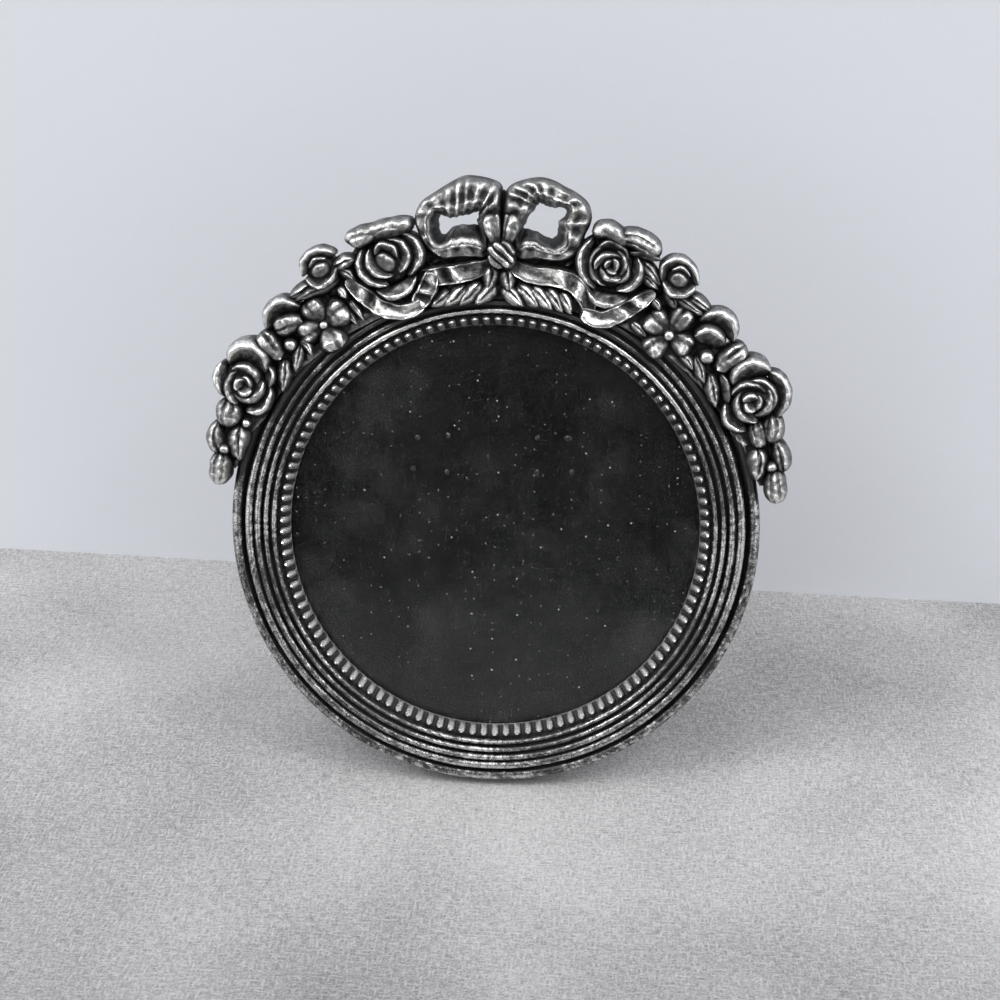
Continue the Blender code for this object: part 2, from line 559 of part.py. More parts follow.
def make_crest(face):
    bm = bmesh.new()
    corners = [bm.verts.new((x, y, WEB_BACK)) for x, y in web_outline()]
    ground = bm.faces.new(corners)
    raised = bmesh.ops.extrude_face_region(bm, geom=[ground])
    top = [item for item in raised["geom"] if isinstance(item, bmesh.types.BMVert)]
    bmesh.ops.translate(bm, verts=top, vec=(0, 0, WEB_TOP - WEB_BACK))
    crest = place(bm, "rose_garland", face, pewter)

    bm = bmesh.new()
    for x, y, length, width, turn, rise in LEAVES:
        add_dome(bm, x, y, length / 2, LEAF_FULLNESS * width / 2, math.radians(turn), rise, LEAF_NARROWING)
    for x, y, radius, rise in BERRIES:
        add_dome(bm, x, y, radius, radius, 0.0, rise)
    for petal in PETALS:
        add_petal(bm, *petal)
    for rose in ROSES:
        add_rose(bm, *rose)
    for points in TAILS:
        add_tail(bm, points)
    add_loop(bm, LEFT_LOOP)
    add_loop(bm, RIGHT_LOOP)
    add_knot(bm)
    boolean(crest, place(bm, "flower_relief", face), 'UNION', self_overlap=True)
    thin = crest.modifiers.new("Fewer facets", 'DECIMATE')
    thin.ratio = CREST_FACETS

    seat = turned("ring_seat_cutter", (
        (LEDGE_RADIUS - CUT, REED_TOP + CLEAR),
        (LEDGE_RADIUS + REEDS[-1][0] + REEDS[-1][1] + CLEAR, REED_TOP + CLEAR),
        (QUIRK_RADIUS + CLEAR, FLANGE_CREST + CLEAR),
        (RING_RADIUS - CLEAR, FLANGE_CREST + CLEAR),
        (RING_RADIUS + CLEAR, FLANGE_EDGE + CLEAR),
        (RING_RADIUS + CLEAR, -CUT),
        (LEDGE_RADIUS - CUT, -CUT),
    ), face)
    boolean(crest, seat)


def make_sandwich(face):
    bm = bmesh.new()
    disc(bm, GLASS_RADIUS, GLASS_BACK, GLASS_BACK + GLASS_THICK)
    place(bm, "glass", face, glass, smooth=True)
    bm = bmesh.new()
    disc(bm, GLASS_RADIUS, LINER_BACK, LINER_BACK + LINER_THICK)
    place(bm, "photo_liner", face, liner)
    bm = bmesh.new()
    disc(bm, GLASS_RADIUS, 0.0, BOARD_THICK)
    board = place(bm, "backboard", face, velvet)
    bm = bmesh.new()
    for side in (-1, 1):
        add_prong_slots(bm, side * HINGE_SPACING / 2, LEAF_HEIGHT_ON_FACE, -CUT, BOARD_THICK + CUT)
    boolean(board, place(bm, "board_slot_cutter", face))


def prong_places(x, y):
    half = PRONG_PITCH / 2
    return [(x + across * half, y + along * half, across) for across in (-1, 1) for along in (-1, 1)]


def add_prong_slots(bm, x, y, low, high):
    half_x = PRONG_WIDE / 2 + CLEAR
    half_y = PRONG_DEEP / 2 + CLEAR
    for px, py, _ in prong_places(x, y):
        add_box(bm, (px - half_x, py - half_y, low), (px + half_x, py + half_y, high))


def make_leaf(name, parent, x, direction, plate, through, knuckles):
    """Hinge leaf about the parent's X axis. direction is +1 above the axis and -1 below,
    plate holds the plate's low and high face, through its clinched prongs' low and high."""
    middle = direction * LEAF_DROP
    near, far = sorted((direction * LEAF_ROOT, direction * LEAF_LENGTH))
    bm = bmesh.new()
    add_box(bm, (x - LEAF_WIDTH / 2, near, plate[0]), (x + LEAF_WIDTH / 2, far, plate[1]))
    leaf = place(bm, name, parent, steel)
    bm = bmesh.new()
    for start, end in knuckles:
        add_cylinder(bm, (x + start, 0, 0), (x + end, 0, 0), KNUCKLE_RADIUS, KNUCKLE_SIDES)
    half = PRONG_DEEP / 2
    wide = half + CLINCH_SPREAD
    for px, py, across in prong_places(x, middle):
        add_box(bm, (px - PRONG_WIDE / 2, py - half, plate[1] - BITE),
                (px + PRONG_WIDE / 2, py + half, through[1]))
        sides = sorted((px - across * BITE, px - across * (PRONG_WIDE / 2 + CLINCH_LENGTH)))
        add_box(bm, (sides[0], py - wide, through[0]), (sides[1], py + wide, through[1]))
    boolean(leaf, place(bm, name + "_parts", parent), 'UNION', self_overlap=True)
    bm = bmesh.new()
    half = LEAF_WIDTH / 2 + CUT
    add_cylinder(bm, (x - half, 0, 0), (x + half, 0, 0), PIN_RADIUS + CLEAR, KNUCKLE_SIDES)
    gap_low, gap_high = KNUCKLE_RADIUS + CLEAR, KNUCKLE_RADIUS + CUT
    for start, end in knuckle_gaps(knuckles):
        add_box(bm, (x + start, -gap_low, -gap_high), (x + end, gap_low, gap_high))
    boolean(leaf, place(bm, name + "_bore_cutter", parent), self_overlap=True)


def knuckle_gaps(knuckles):
    """Stretches of a leaf's width that its own knuckles leave to the other leaf."""
    half = LEAF_WIDTH / 2
    edges = [-half - CUT] + [edge for pair in knuckles for edge in pair] + [half + CUT]
    gaps = list(zip(edges[::2], edges[1::2]))
    return [(start - SHAVE, end + SHAVE) for start, end in gaps if end - start > CUT + SHAVE]


def make_hinges(strut_axis, fixed_axis):
    third = (LEAF_WIDTH - 2 * CLEAR) / 3
    half = LEAF_WIDTH / 2
    outer = ((-half, -half + third), (half - third, half))
    inner = ((-third / 2, third / 2),)
    for side, word in ((-1, "left"), (1, "right")):
        x = side * HINGE_SPACING / 2
        clinch = AXIS_BEHIND + BOARD_THICK + CLEAR
        make_leaf("hinge_leaf_board_" + word, fixed_axis, x, 1,
                  (AXIS_BEHIND - CLEAR - LEAF_THICK, AXIS_BEHIND - CLEAR),
                  (clinch, clinch + CLINCH_THICK), outer)
        make_leaf("hinge_leaf_strut_" + word, strut_axis, x, -1,
                  (STRUT_LEAF_BACK, STRUT_LEAF_BACK + LEAF_THICK),
                  (STRUT_INNER + CLEAR, STRUT_INNER + CLEAR + CLINCH_THICK), inner)
        bm = bmesh.new()
        shank = half + CLEAR + PIN_HEAD / 2
        add_cylinder(bm, (x - shank, 0, 0), (x + shank, 0, 0), PIN_RADIUS, KNUCKLE_SIDES)
        pin = place(bm, "hinge_pin_" + word, fixed_axis, steel, smooth=True)
        bm = bmesh.new()
        for end in (-1, 1):
            seat = x + end * (half + CLEAR)
            add_cylinder(bm, (seat, 0, 0), (seat + end * PIN_HEAD, 0, 0), PIN_HEAD_RADIUS, KNUCKLE_SIDES)
        boolean(pin, place(bm, "hinge_pin_heads_" + word, fixed_axis), 'UNION')


def strut_outline():
    """Right half of the strut from the tongue down to the foot, then mirrored."""
    top = STRUT_TOP_WIDTH / 2
    foot = STRUT_FOOT_WIDTH / 2
    corner = STRUT_SHOULDER - STRUT_CORNER
    low = -(AXIS_ABOVE_TABLE / math.cos(STRUT_OPEN - LEAN) + CUT)
    right = [(TONGUE_WIDTH / 2 - TONGUE_CHAMFER, HEEL), (TONGUE_WIDTH / 2, HEEL - TONGUE_CHAMFER),
             (TONGUE_WIDTH / 2, STRUT_SHOULDER)]
    for step in range(CORNER_STEPS + 1):
        turn = math.pi / 2 * step / CORNER_STEPS
        right.append((top - STRUT_CORNER + STRUT_CORNER * math.sin(turn),
                      corner + STRUT_CORNER * math.cos(turn)))
    for step in range(1, SIDE_STEPS + 1):
        share = step / SIDE_STEPS
        half = top + (foot - top) * share - STRUT_WAIST * math.sin(math.pi * share)
        right.append((half, corner + (low - corner) * share))
    left = [(-x, y) for x, y in reversed(right)]
    return right + left


def make_strut(strut_axis):
    curve = bpy.data.curves.new("strut_board", 'CURVE')
    curve.dimensions = '2D'
    curve.fill_mode = 'BOTH'
    curve.extrude = STRUT_THICK / 2
    outline = strut_outline()
    spline = curve.splines.new('POLY')
    spline.points.add(len(outline) - 1)
    for point, (x, y) in zip(spline.points, outline):
        point.co = (x, y, 0.0, 1.0)
    spline.use_cyclic_u = True
    flat = bpy.data.objects.new("strut_flat", curve)
    pieces.objects.link(flat)
    mesh = bpy.data.meshes.new_from_object(flat.evaluated_get(bpy.context.evaluated_depsgraph_get()))
    bpy.data.objects.remove(flat)
    bm = bmesh.new()
    bm.from_mesh(mesh)
    bmesh.ops.remove_doubles(bm, verts=bm.verts, dist=WELD)
    bmesh.ops.translate(bm, verts=bm.verts, vec=(0, 0, STRUT_OUTER + STRUT_THICK / 2))
    strut = place(bm, "strut_board", strut_axis, velvet)

    bm = bmesh.new()
    for side in (-1, 1):
        add_prong_slots(bm, side * HINGE_SPACING / 2, -LEAF_DROP, STRUT_OUTER - CUT, STRUT_INNER + CUT)
    boolean(strut, place(bm, "strut_slot_cutter", strut_axis))

    bm = bmesh.new()
    wide = STRUT_FOOT_WIDTH
    tilt = STRUT_OPEN - LEAN
    reach = AXIS_ABOVE_TABLE * math.tan(tilt) + STRUT_THICK + CUT
    add_box(bm, (-wide, -reach, -reach), (wide, 0.0, reach))
    table = place(bm, "foot_cutter", strut_axis)
    # the point of the table straight below the axis, seen from the open strut
    table.location = (0, -AXIS_ABOVE_TABLE * math.cos(tilt), AXIS_ABOVE_TABLE * math.sin(tilt))
    table.rotation_euler = (-tilt, 0, 0)
    boolean(strut, table)


def make_buttons(face):
    for index, angle in enumerate(BUTTON_ANGLES, start=1):
        x, y = on_face(angle, BUTTON_PIVOT_RADIUS)
        # local -Y of the axis points to the ring's centre
        axis = empty("button_axis_%d" % index, face, (x, y, 0.0), (0, 0, -math.radians(angle)))
        bm = bmesh.new()
        outline = []
        for step in range(TAIL_STEPS + 1):
            turn = math.pi * step / TAIL_STEPS
            outline.append((BUTTON_TAIL * math.cos(turn), BUTTON_TAIL * math.sin(turn)))
        for step in range(TIP_STEPS + 1):
            turn = math.pi * (1 + step / TIP_STEPS)
            outline.append((BUTTON_TIP * math.cos(turn),
                            BUTTON_TIP - BUTTON_REACH + BUTTON_TIP * math.sin(turn)))
        corners = [bm.verts.new((px, py, BUTTON_BACK)) for px, py in outline]
        plate = bm.faces.new(corners)
        raised = bmesh.ops.extrude_face_region(bm, geom=[plate])
        top = [item for item in raised["geom"] if isinstance(item, bmesh.types.BMVert)]
        bmesh.ops.translate(bm, verts=top, vec=(0, 0, BUTTON_THICK))
        button = place(bm, "turn_button_%d" % index, axis, brass)
        bm = bmesh.new()
        add_cylinder(bm, (0, 0, BUTTON_BACK - CUT), (0, 0, CUT), RIVET_RADIUS + CLEAR, RIVET_SIDES)
        boolean(button, place(bm, "button_hole_cutter_%d" % index, axis))

        head = BUTTON_BACK - CLEAR
        outline = [(0.0, RIVET_DEPTH), (RIVET_RADIUS, RIVET_DEPTH), (RIVET_RADIUS, head),
                   (RIVET_HEAD_RADIUS, head)]
        outline += [(RIVET_HEAD_RADIUS * out, head - RIVET_HEAD_HEIGHT * down)
                    for out, down in RIVET_HEAD_DOME]
        outline.append((0.0, head - RIVET_HEAD_HEIGHT))
        turned("button_rivet_%d" % index, outline, face, brass, sides=RIVET_SIDES, location=(x, y, 0.0))


def world_points(objects):
    graph = bpy.context.evaluated_depsgraph_get()
    points = []
    for obj in objects:
        if obj.type == 'MESH':
            shape = obj.evaluated_get(graph)
            points += [shape.matrix_world @ vert.co for vert in shape.data.vertices]
    return points


def stand_on_origin(face):
    """Move the whole frame so that its lowest points are at z = 0 and its depth is centred."""
    bpy.context.view_layer.update()
    points = world_points(pieces.objects)
    low = min(point.z for point in points)
    depth = (min(point.y for point in points) + max(point.y for point in points)) / 2
    face.location = (0.0, -depth, -low)
    bpy.context.view_layer.update()


def report(objects):
    points = world_points(pieces.objects)
    for axis, name in enumerate("xyz"):
        values = [point[axis] for point in points]
        print("size %s %.5f to %.5f" % (name, min(values), max(values)))
    for obj in objects:
        place_at = obj.matrix_world.translation
        normal = obj.matrix_world.to_3x3() @ Vector((0, 0, 1))
        print("axis %s at %.5f %.5f %.5f, face normal %.5f %.5f %.5f"
              % (obj.name, *place_at, *normal))


clear_scene()
pieces = new_collection("round_picture_frame")
cutters = new_collection("cutters")
pewter = finish("antique_pewter", (0.36, 0.36, 0.37), 0.38, 1.0)
steel = finish("hinge_steel", (0.55, 0.54, 0.52), 0.35, 1.0)
brass = finish("button_brass", (0.62, 0.52, 0.32), 0.4, 1.0)
velvet = finish("black_backing", (0.02, 0.02, 0.022), 0.9, 0.0)
liner = finish("black_liner", (0.02, 0.022, 0.022), 0.75, 0.0)
glass = finish("clear_glass", (0.95, 0.97, 0.97), 0.03, 0.0, 1.0)

face_frame = empty("face_frame", None, rotation=(math.radians(90) - LEAN, 0, 0))
fixed_hinge = empty("fixed_hinge", face_frame, (0, AXIS_HEIGHT, -AXIS_BEHIND))
strut_hinge = empty("strut_hinge", face_frame, (0, AXIS_HEIGHT, -AXIS_BEHIND), (STRUT_OPEN, 0, 0))

make_ring(face_frame)
make_beads(face_frame)
make_crest(face_frame)
make_sandwich(face_frame)
make_hinges(strut_hinge, fixed_hinge)
make_strut(strut_hinge)
make_buttons(face_frame)
stand_on_origin(face_frame)
report([face_frame, strut_hinge] + [obj for obj in pieces.objects if obj.name.startswith("button_axis")])
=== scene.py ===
import math
import bpy
import numpy as np
from mathutils import Matrix


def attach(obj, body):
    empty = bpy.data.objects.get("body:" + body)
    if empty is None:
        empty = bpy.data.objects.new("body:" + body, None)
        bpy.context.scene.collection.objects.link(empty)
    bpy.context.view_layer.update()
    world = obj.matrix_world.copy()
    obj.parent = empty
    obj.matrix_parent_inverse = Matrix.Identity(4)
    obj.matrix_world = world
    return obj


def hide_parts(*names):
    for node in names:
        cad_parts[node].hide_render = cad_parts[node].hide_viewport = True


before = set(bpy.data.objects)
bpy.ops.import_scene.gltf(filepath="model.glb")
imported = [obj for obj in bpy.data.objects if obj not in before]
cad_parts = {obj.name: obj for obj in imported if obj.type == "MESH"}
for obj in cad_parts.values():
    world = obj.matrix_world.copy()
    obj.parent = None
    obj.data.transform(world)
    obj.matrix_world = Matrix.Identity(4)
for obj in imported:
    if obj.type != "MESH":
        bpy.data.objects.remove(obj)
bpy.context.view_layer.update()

scene = bpy.context.scene
scene.view_settings.view_transform = 'Standard'

# How the ring stands: degrees it leans back, and its middle behind the origin and over the table, mm
standing = dict(lean=15.0, behind=0.97, height=47.65)
leanSin = math.sin(math.radians(standing["lean"]))
leanCos = math.cos(math.radians(standing["lean"]))
faceAxes = np.array([[1, 0, 0], [0, leanSin, leanCos], [0, -leanCos, leanSin]])    # right, up the face, out of it
faceMiddle = np.array([0, standing["behind"], standing["height"]])


# Face coordinates in mm (x right, u up the face, h out of it) to the table's in metres: middle plus each times its axis
def fromFace(points):
    return (faceMiddle + np.asarray(points, float) @ faceAxes) * 0.001


# The camera: width of the picture and focal length in pixels, pixels to a mm at the ring's middle, degrees off the
# face's normal and towards which side, degrees it is rolled, pixel of the ring's middle, and that point's height
view = dict(picture=1000, focal=2000.0, scale=5.373, off=13.7, toward=15.2, roll=1.2, middle=(493.0, 532.0),
            height=8.0, sensor=36.0, near=0.01)


def makeCamera():
    off, toward, roll = (math.radians(view[key]) for key in ("off", "toward", "roll"))
    back = np.array([math.sin(off) * math.sin(toward), math.sin(off) * math.cos(toward), math.cos(off)])
    place = back * view["focal"] / view["scale"] + [0, 0, view["height"]]
    right = np.cross([0, 1, 0], back)
    right /= np.linalg.norm(right)
    up = np.cross(back, right)
    right, up = right * math.cos(roll) + up * math.sin(roll), up * math.cos(roll) - right * math.sin(roll)
    centre = view["picture"] / 2
    sight = np.array([view["middle"][0] - centre, centre - view["middle"][1], -view["focal"]])
    sight /= np.linalg.norm(sight)
    ahead = np.array([0, 0, -1.0])
    axis = np.cross(ahead, sight)
    skew = np.array([[0, -axis[2], axis[1]], [axis[2], 0, -axis[0]], [-axis[1], axis[0], 0]])
    swing = np.eye(3) + skew + skew @ skew / (1 + ahead @ sight)     # turns the middle to its own pixel
    axes = swing @ np.stack([right, up, back]) @ faceAxes
    camera = bpy.data.objects.new("camera", bpy.data.cameras.new("camera"))
    camera.data.sensor_width = view["sensor"]
    camera.data.lens = view["focal"] * view["sensor"] / view["picture"]
    camera.data.clip_start = view["near"]
    camera.matrix_world = Matrix([[*axes[:, row], spot] for row, spot in enumerate(fromFace(place))] + [[0, 0, 0, 1]])
    scene.collection.objects.link(camera)
    scene.camera = camera


makeCamera()
print("camera is up")


# A shader node with its settings, and its inputs set or linked by name or number
def addNode(tree, kind, inputs=None, **settings):
    made = tree.nodes.new('ShaderNode' + kind)
    for name, value in settings.items():
        setattr(made, name, value)
    for name, value in (inputs or {}).items():
        if isinstance(value, bpy.types.NodeSocket):
            tree.links.new(value, made.inputs[name])
        else:
            made.inputs[name].default_value = value
    return made


def noise(tree, place, scale, detail=3.0, roughness=0.5):
    values = {"Vector": place, "Scale": scale, "Detail": detail, "Roughness": roughness}
    return addNode(tree, 'TexNoise', values).outputs["Fac"]


def maths(tree, operation, *values):
    return addNode(tree, 'Math', dict(enumerate(values)), operation=operation).outputs[0]


# A value times a share, plus a start
def scaled(tree, value, share, start):
    return maths(tree, 'ADD', start, maths(tree, 'MULTIPLY', value, share))


def smoothStep(tree, value, low, high, start=0.0, end=1.0):
    values = {"Value": value, "From Min": low, "From Max": high, "To Min": start, "To Max": end}
    return addNode(tree, 'MapRange', values, interpolation_type='SMOOTHSTEP').outputs["Result"]


def mixColours(tree, share, first, second, blend='MIX'):
    values = {0: share, 6: first, 7: second}
    return addNode(tree, 'Mix', values, data_type='RGBA', blend_type=blend).outputs[2]


# From one colour to another as a value goes from low to high
def shadeBetween(tree, value, low, high, first, second):
    return mixColours(tree, smoothStep(tree, value, low, high), first, second)


def colour(red, green, blue):
    return (red, green, blue, 1.0)


# Links each value to the socket of its name
def wire(tree, sockets, values):
    for name, value in values.items():
        tree.links.new(value, sockets[name])


# A node group with named inputs, numbers or colours as they start, and outputs
def startGroup(name, inputs, outputs):
    group = bpy.data.node_groups.new(name, 'ShaderNodeTree')
    for label, value in inputs.items():
        kind = 'NodeSocketColor' if isinstance(value, tuple) else 'NodeSocketFloat'
        group.interface.new_socket(label, in_out='INPUT', socket_type=kind).default_value = value
    for label in outputs:
        kind = 'NodeSocketColor' if label == "Color" else 'NodeSocketFloat'
        group.interface.new_socket(label, in_out='OUTPUT', socket_type=kind)
    given = group.nodes.new('NodeGroupInput')
    put = group.nodes.new('NodeGroupOutput')
    return group, given.outputs, put.inputs


def useGroup(tree, group, inputs):
    return addNode(tree, 'Group', inputs, node_tree=group).outputs


def startMaterial(name, constants):
    material = bpy.data.materials.new(name)
    material.use_nodes = True
    tree = material.node_tree
    shader = tree.nodes["Principled BSDF"]
    for label, value in constants.items():
        shader.inputs[label].default_value = value
    return material, tree, shader.inputs


def objectPlace(tree):
    return addNode(tree, 'TexCoord').outputs["Object"]


def bump(tree, height, distance, strength=1.0):
    return addNode(tree, 'Bump', {"Height": height, "Distance": distance, "Strength": strength}).outputs["Normal"]


# Cast skin: height of fine grain and of softer unevenness, both from noise, scales per metre
def makeGrainGroup():
    group, given, put = startGroup("cast grain", dict(Fine=5000.0, Soft=900.0, Softness=0.5), ["Height"])
    place = objectPlace(group)
    fine = noise(group, place, given["Fine"], 2.0, 0.6)
    soft = noise(group, place, given["Soft"], 2.0, 0.5)
    both = addNode(group, 'Mix', {0: given["Softness"], 2: fine, 3: soft}, data_type='FLOAT').outputs[0]
    wire(group, put, dict(Height=both))
    return group


# Patina: a relief value (slopes down from a point less slopes up to its surroundings) broken up by noise chooses
# between oxide, plain and rubbed metal. Noise scales per metre, how wide the changes are, roughness of oxide and how
# much clean and rubbed metal take off it, and metallic share of oxide and what clean metal adds
patina = dict(blotch=700.0, speck=4200.0, speckShare=0.9, cleanWidth=0.28, rubbedWidth=(-0.2, 0.25), rough=0.56,
              cleanSmooth=-0.24, rubbedSmooth=-0.09, speckRough=0.25, metallic=0.3, cleanMetallic=0.68)


def makePatinaGroup():
    group, given, put = startGroup(
        "antique patina", {"Relief": 0.0, "Oxide": colour(0.01, 0.01, 0.01), "Plain": colour(0.2, 0.2, 0.2),
                           "Rubbed": colour(0.6, 0.6, 0.6), "Broken": 0.4, "Oxide Below": -0.1, "Rubbed Above": 0.5},
        ["Color", "Roughness", "Metallic"])
    place = objectPlace(group)
    blotch = maths(group, 'SUBTRACT', noise(group, place, patina["blotch"], 4.0, 0.65), 0.5)
    speck = maths(group, 'SUBTRACT', noise(group, place, patina["speck"], 2.0, 0.6), 0.5)
    uneven = maths(group, 'MULTIPLY', scaled(group, speck, patina["speckShare"], blotch), given["Broken"])
    relief = maths(group, 'ADD', given["Relief"], uneven)
    width = patina["cleanWidth"]
    clean = smoothStep(group, maths(group, 'SUBTRACT', relief, given["Oxide Below"]), -width, width)
    rubbed = smoothStep(group, maths(group, 'SUBTRACT', relief, given["Rubbed Above"]), *patina["rubbedWidth"])
    metal = mixColours(group, clean, given["Oxide"], given["Plain"])
    rough = scaled(group, clean, patina["cleanSmooth"], patina["rough"])
    rough = scaled(group, rubbed, patina["rubbedSmooth"], rough)
    wire(group, put, dict(Color=mixColours(group, rubbed, metal, given["Rubbed"]),
                          Roughness=scaled(group, speck, patina["speckRough"], rough),
                          Metallic=scaled(group, clean, patina["cleanMetallic"], patina["metallic"])))
    return group


# Dust: a mask of scattered specks, where a cell's own random value passes and the point is near the cell's middle
def makeDustGroup():
    group, given, put = startGroup("dust specks", dict(Scale=400.0, Share=0.1, Size=0.12), ["Mask"])
    parts = addNode(group, 'SeparateXYZ', {0: objectPlace(group)}).outputs
    face = addNode(group, 'CombineXYZ', {0: parts["X"], 1: parts["Z"]}).outputs[0]
    cells = addNode(group, 'TexVoronoi', {"Vector": face, "Scale": given["Scale"]}, voronoi_dimensions='2D')
    picked = addNode(group, 'SeparateColor', {"Color": cells.outputs["Color"]}).outputs[0]
    chosen = maths(group, 'LESS_THAN', picked, given["Share"])
    near = smoothStep(group, cells.outputs["Distance"], given["Size"], 0.0)
    wire(group, put, dict(Mask=maths(group, 'MULTIPLY', chosen, near)))
    return group


# Weave: height of crossing threads, the larger of two noises each drawn out along one way
def makeWeaveGroup():
    group, given, put = startGroup("cloth weave", dict(Across=2600.0, Along=500.0), ["Height"])
    place = objectPlace(group)
    threads = []
    for first, second in (("Across", "Along"), ("Along", "Across")):
        stretch = addNode(group, 'CombineXYZ', {0: given[first], 1: given[second], 2: 1000.0}).outputs[0]
        drawn = addNode(group, 'Mapping', {"Vector": place, "Scale": stretch}).outputs[0]
        threads.append(noise(group, drawn, 1.0, 2.0, 0.6))
    wire(group, put, dict(Height=maths(group, 'MAXIMUM', *threads)))
    return group


grainGroup, patinaGroup, dustGroup, weaveGroup = makeGrainGroup(), makePatinaGroup(), makeDustGroup(), makeWeaveGroup()

# Antiqued pewter of each casting: grey of oxide, of plain and of rubbed metal, how much noise breaks them up, relief
# between them, and the cast skin's depth in metres and scale
pewters = dict(
    crest=dict(oxide=0.01, plain=0.25, rubbed=1.0, broken=0.7, oxideBelow=-0.1, rubbedAbove=0.32, depth=0.00007,
               fine=4800.0),
    ring=dict(oxide=0.03, plain=0.085, rubbed=0.85, broken=0.95, oxideBelow=-0.16, rubbedAbove=0.62, depth=0.00014,
              fine=2300.0),
    bead=dict(oxide=0.012, plain=0.5, rubbed=1.0, broken=0.25, oxideBelow=0.12, rubbedAbove=0.3, depth=0.00002,
              fine=4200.0))


def makePewter(part):
    values = pewters[part]
    oxide, plain, rubbed = values["oxide"], values["plain"], values["rubbed"]
    material, tree, shader = startMaterial(part + " pewter", {})
    relief = addNode(tree, 'Attribute', attribute_name="relief").outputs["Fac"]
    aged = useGroup(tree, patinaGroup, {
        "Relief": relief, "Oxide": colour(oxide, oxide, oxide), "Plain": colour(plain, plain, plain * 0.98),
        "Rubbed": colour(rubbed, rubbed, rubbed * 0.97), "Broken": values["broken"],
        "Oxide Below": values["oxideBelow"], "Rubbed Above": values["rubbedAbove"]})
    grain = useGroup(tree, grainGroup, {"Fine": values["fine"], "Soft": 1100.0, "Softness": 0.35})
    wire(tree, shader, {"Base Color": aged["Color"], "Roughness": aged["Roughness"], "Metallic": aged["Metallic"],
                        "Normal": bump(tree, grain["Height"], values["depth"])})
    return material


# Glass: scale of its smears and the roughness between and on them
glassLook = dict(smear=90.0, rough=(0.05, 0.12))


def makeGlass():
    material, tree, shader = startMaterial("clear glass", {"Transmission Weight": 1.0, "IOR": 1.45})
    smear = noise(tree, objectPlace(tree), glassLook["smear"], 3.0, 0.6)
    wire(tree, shader, dict(Roughness=smoothStep(tree, smear, 0.35, 0.75, *glassLook["rough"])))
    return material


# Liner card: scales of its faded clouds and flecks, its darkest and palest colour, and its fibres
linerLook = dict(cloud=70.0, fleck=1500.0, fleckShare=0.6, dark=colour(0.003, 0.0035, 0.0035),
                 pale=colour(0.026, 0.027, 0.027), fibre=2600.0, fibreDepth=0.00008)


def makeLiner():
    material, tree, shader = startMaterial("black card", {"Roughness": 0.8, "Specular IOR Level": 0.3})
    place = objectPlace(tree)
    cloud = noise(tree, place, linerLook["cloud"], 5.0, 0.7)
    cloud = scaled(tree, noise(tree, place, linerLook["fleck"], 2.0, 0.7), linerLook["fleckShare"], cloud)
    fibres = noise(tree, place, linerLook["fibre"], 3.0)
    wire(tree, shader, {"Base Color": shadeBetween(tree, cloud, 0.6, 1.0, linerLook["dark"], linerLook["pale"]),
                        "Normal": bump(tree, fibres, linerLook["fibreDepth"])})
    return material


# Card pressed over the prongs, lighter in spots that are partly rubbed card and partly a painted glint: scale of the
# spots, colour and roughness from unrubbed to rubbed
cardGlintLook = dict(spots=3000.0, dark=colour(0.01, 0.01, 0.01), pale=colour(0.2, 0.2, 0.19), rough=(0.5, 0.28))


def makePressedCard():
    material, tree, shader = startMaterial("pressed card with painted glint", {"Specular IOR Level": 0.8})
    spots = noise(tree, objectPlace(tree), cardGlintLook["spots"], 2.0)
    # Pale spots: a painted glint on the bumps, as well as rubbed card
    wire(tree, shader, {"Base Color": shadeBetween(tree, spots, 0.4, 0.65, cardGlintLook["dark"], cardGlintLook["pale"]),
                        "Roughness": smoothStep(tree, spots, 0.4, 0.65, *cardGlintLook["rough"])})
    return material


# Dust on the glass, clear between its specks: (scale, share of cells with a speck, its size, its strength) from coarse
# to fine, and a thin film: scale and strength
dustLook = dict(specks=((240.0, 0.16, 0.055, 0.8), (560.0, 0.16, 0.10, 0.4), (1300.0, 0.2, 0.2, 0.08)),
                film=(60.0, 0.02), grey=colour(0.62, 0.62, 0.6))


def makeDust():
    material, tree, shader = startMaterial("dust on glass", {"Roughness": 1.0, "Specular IOR Level": 0.0,
                                                             "Base Color": dustLook["grey"]})
    specks = []
    for scale, share, size, strength in dustLook["specks"]:
        mask = useGroup(tree, dustGroup, {"Scale": scale, "Share": share, "Size": size})["Mask"]
        specks.append(maths(tree, 'MULTIPLY', mask, strength))
    scale, strength = dustLook["film"]
    film = smoothStep(tree, noise(tree, objectPlace(tree), scale, 4.0, 0.65), 0.45, 0.8, 0.0, strength)
    fine = maths(tree, 'ADD', specks[2], film)
    wire(tree, shader, dict(Alpha=maths(tree, 'MAXIMUM', maths(tree, 'MAXIMUM', *specks[:2]), fine)))
    return material


# Velvet: scale of where it is rubbed, its colours there and elsewhere, lint, and the nap's scales and depth
velvetLook = dict(rubbed=160.0, dark=colour(0.008, 0.008, 0.009), pale=colour(0.026, 0.026, 0.029),
                  lint=dict(Scale=420.0, Share=0.05, Size=0.1), lintGrey=colour(0.2, 0.2, 0.2), nap=(5200.0, 700.0),
                  napDepth=0.0001)


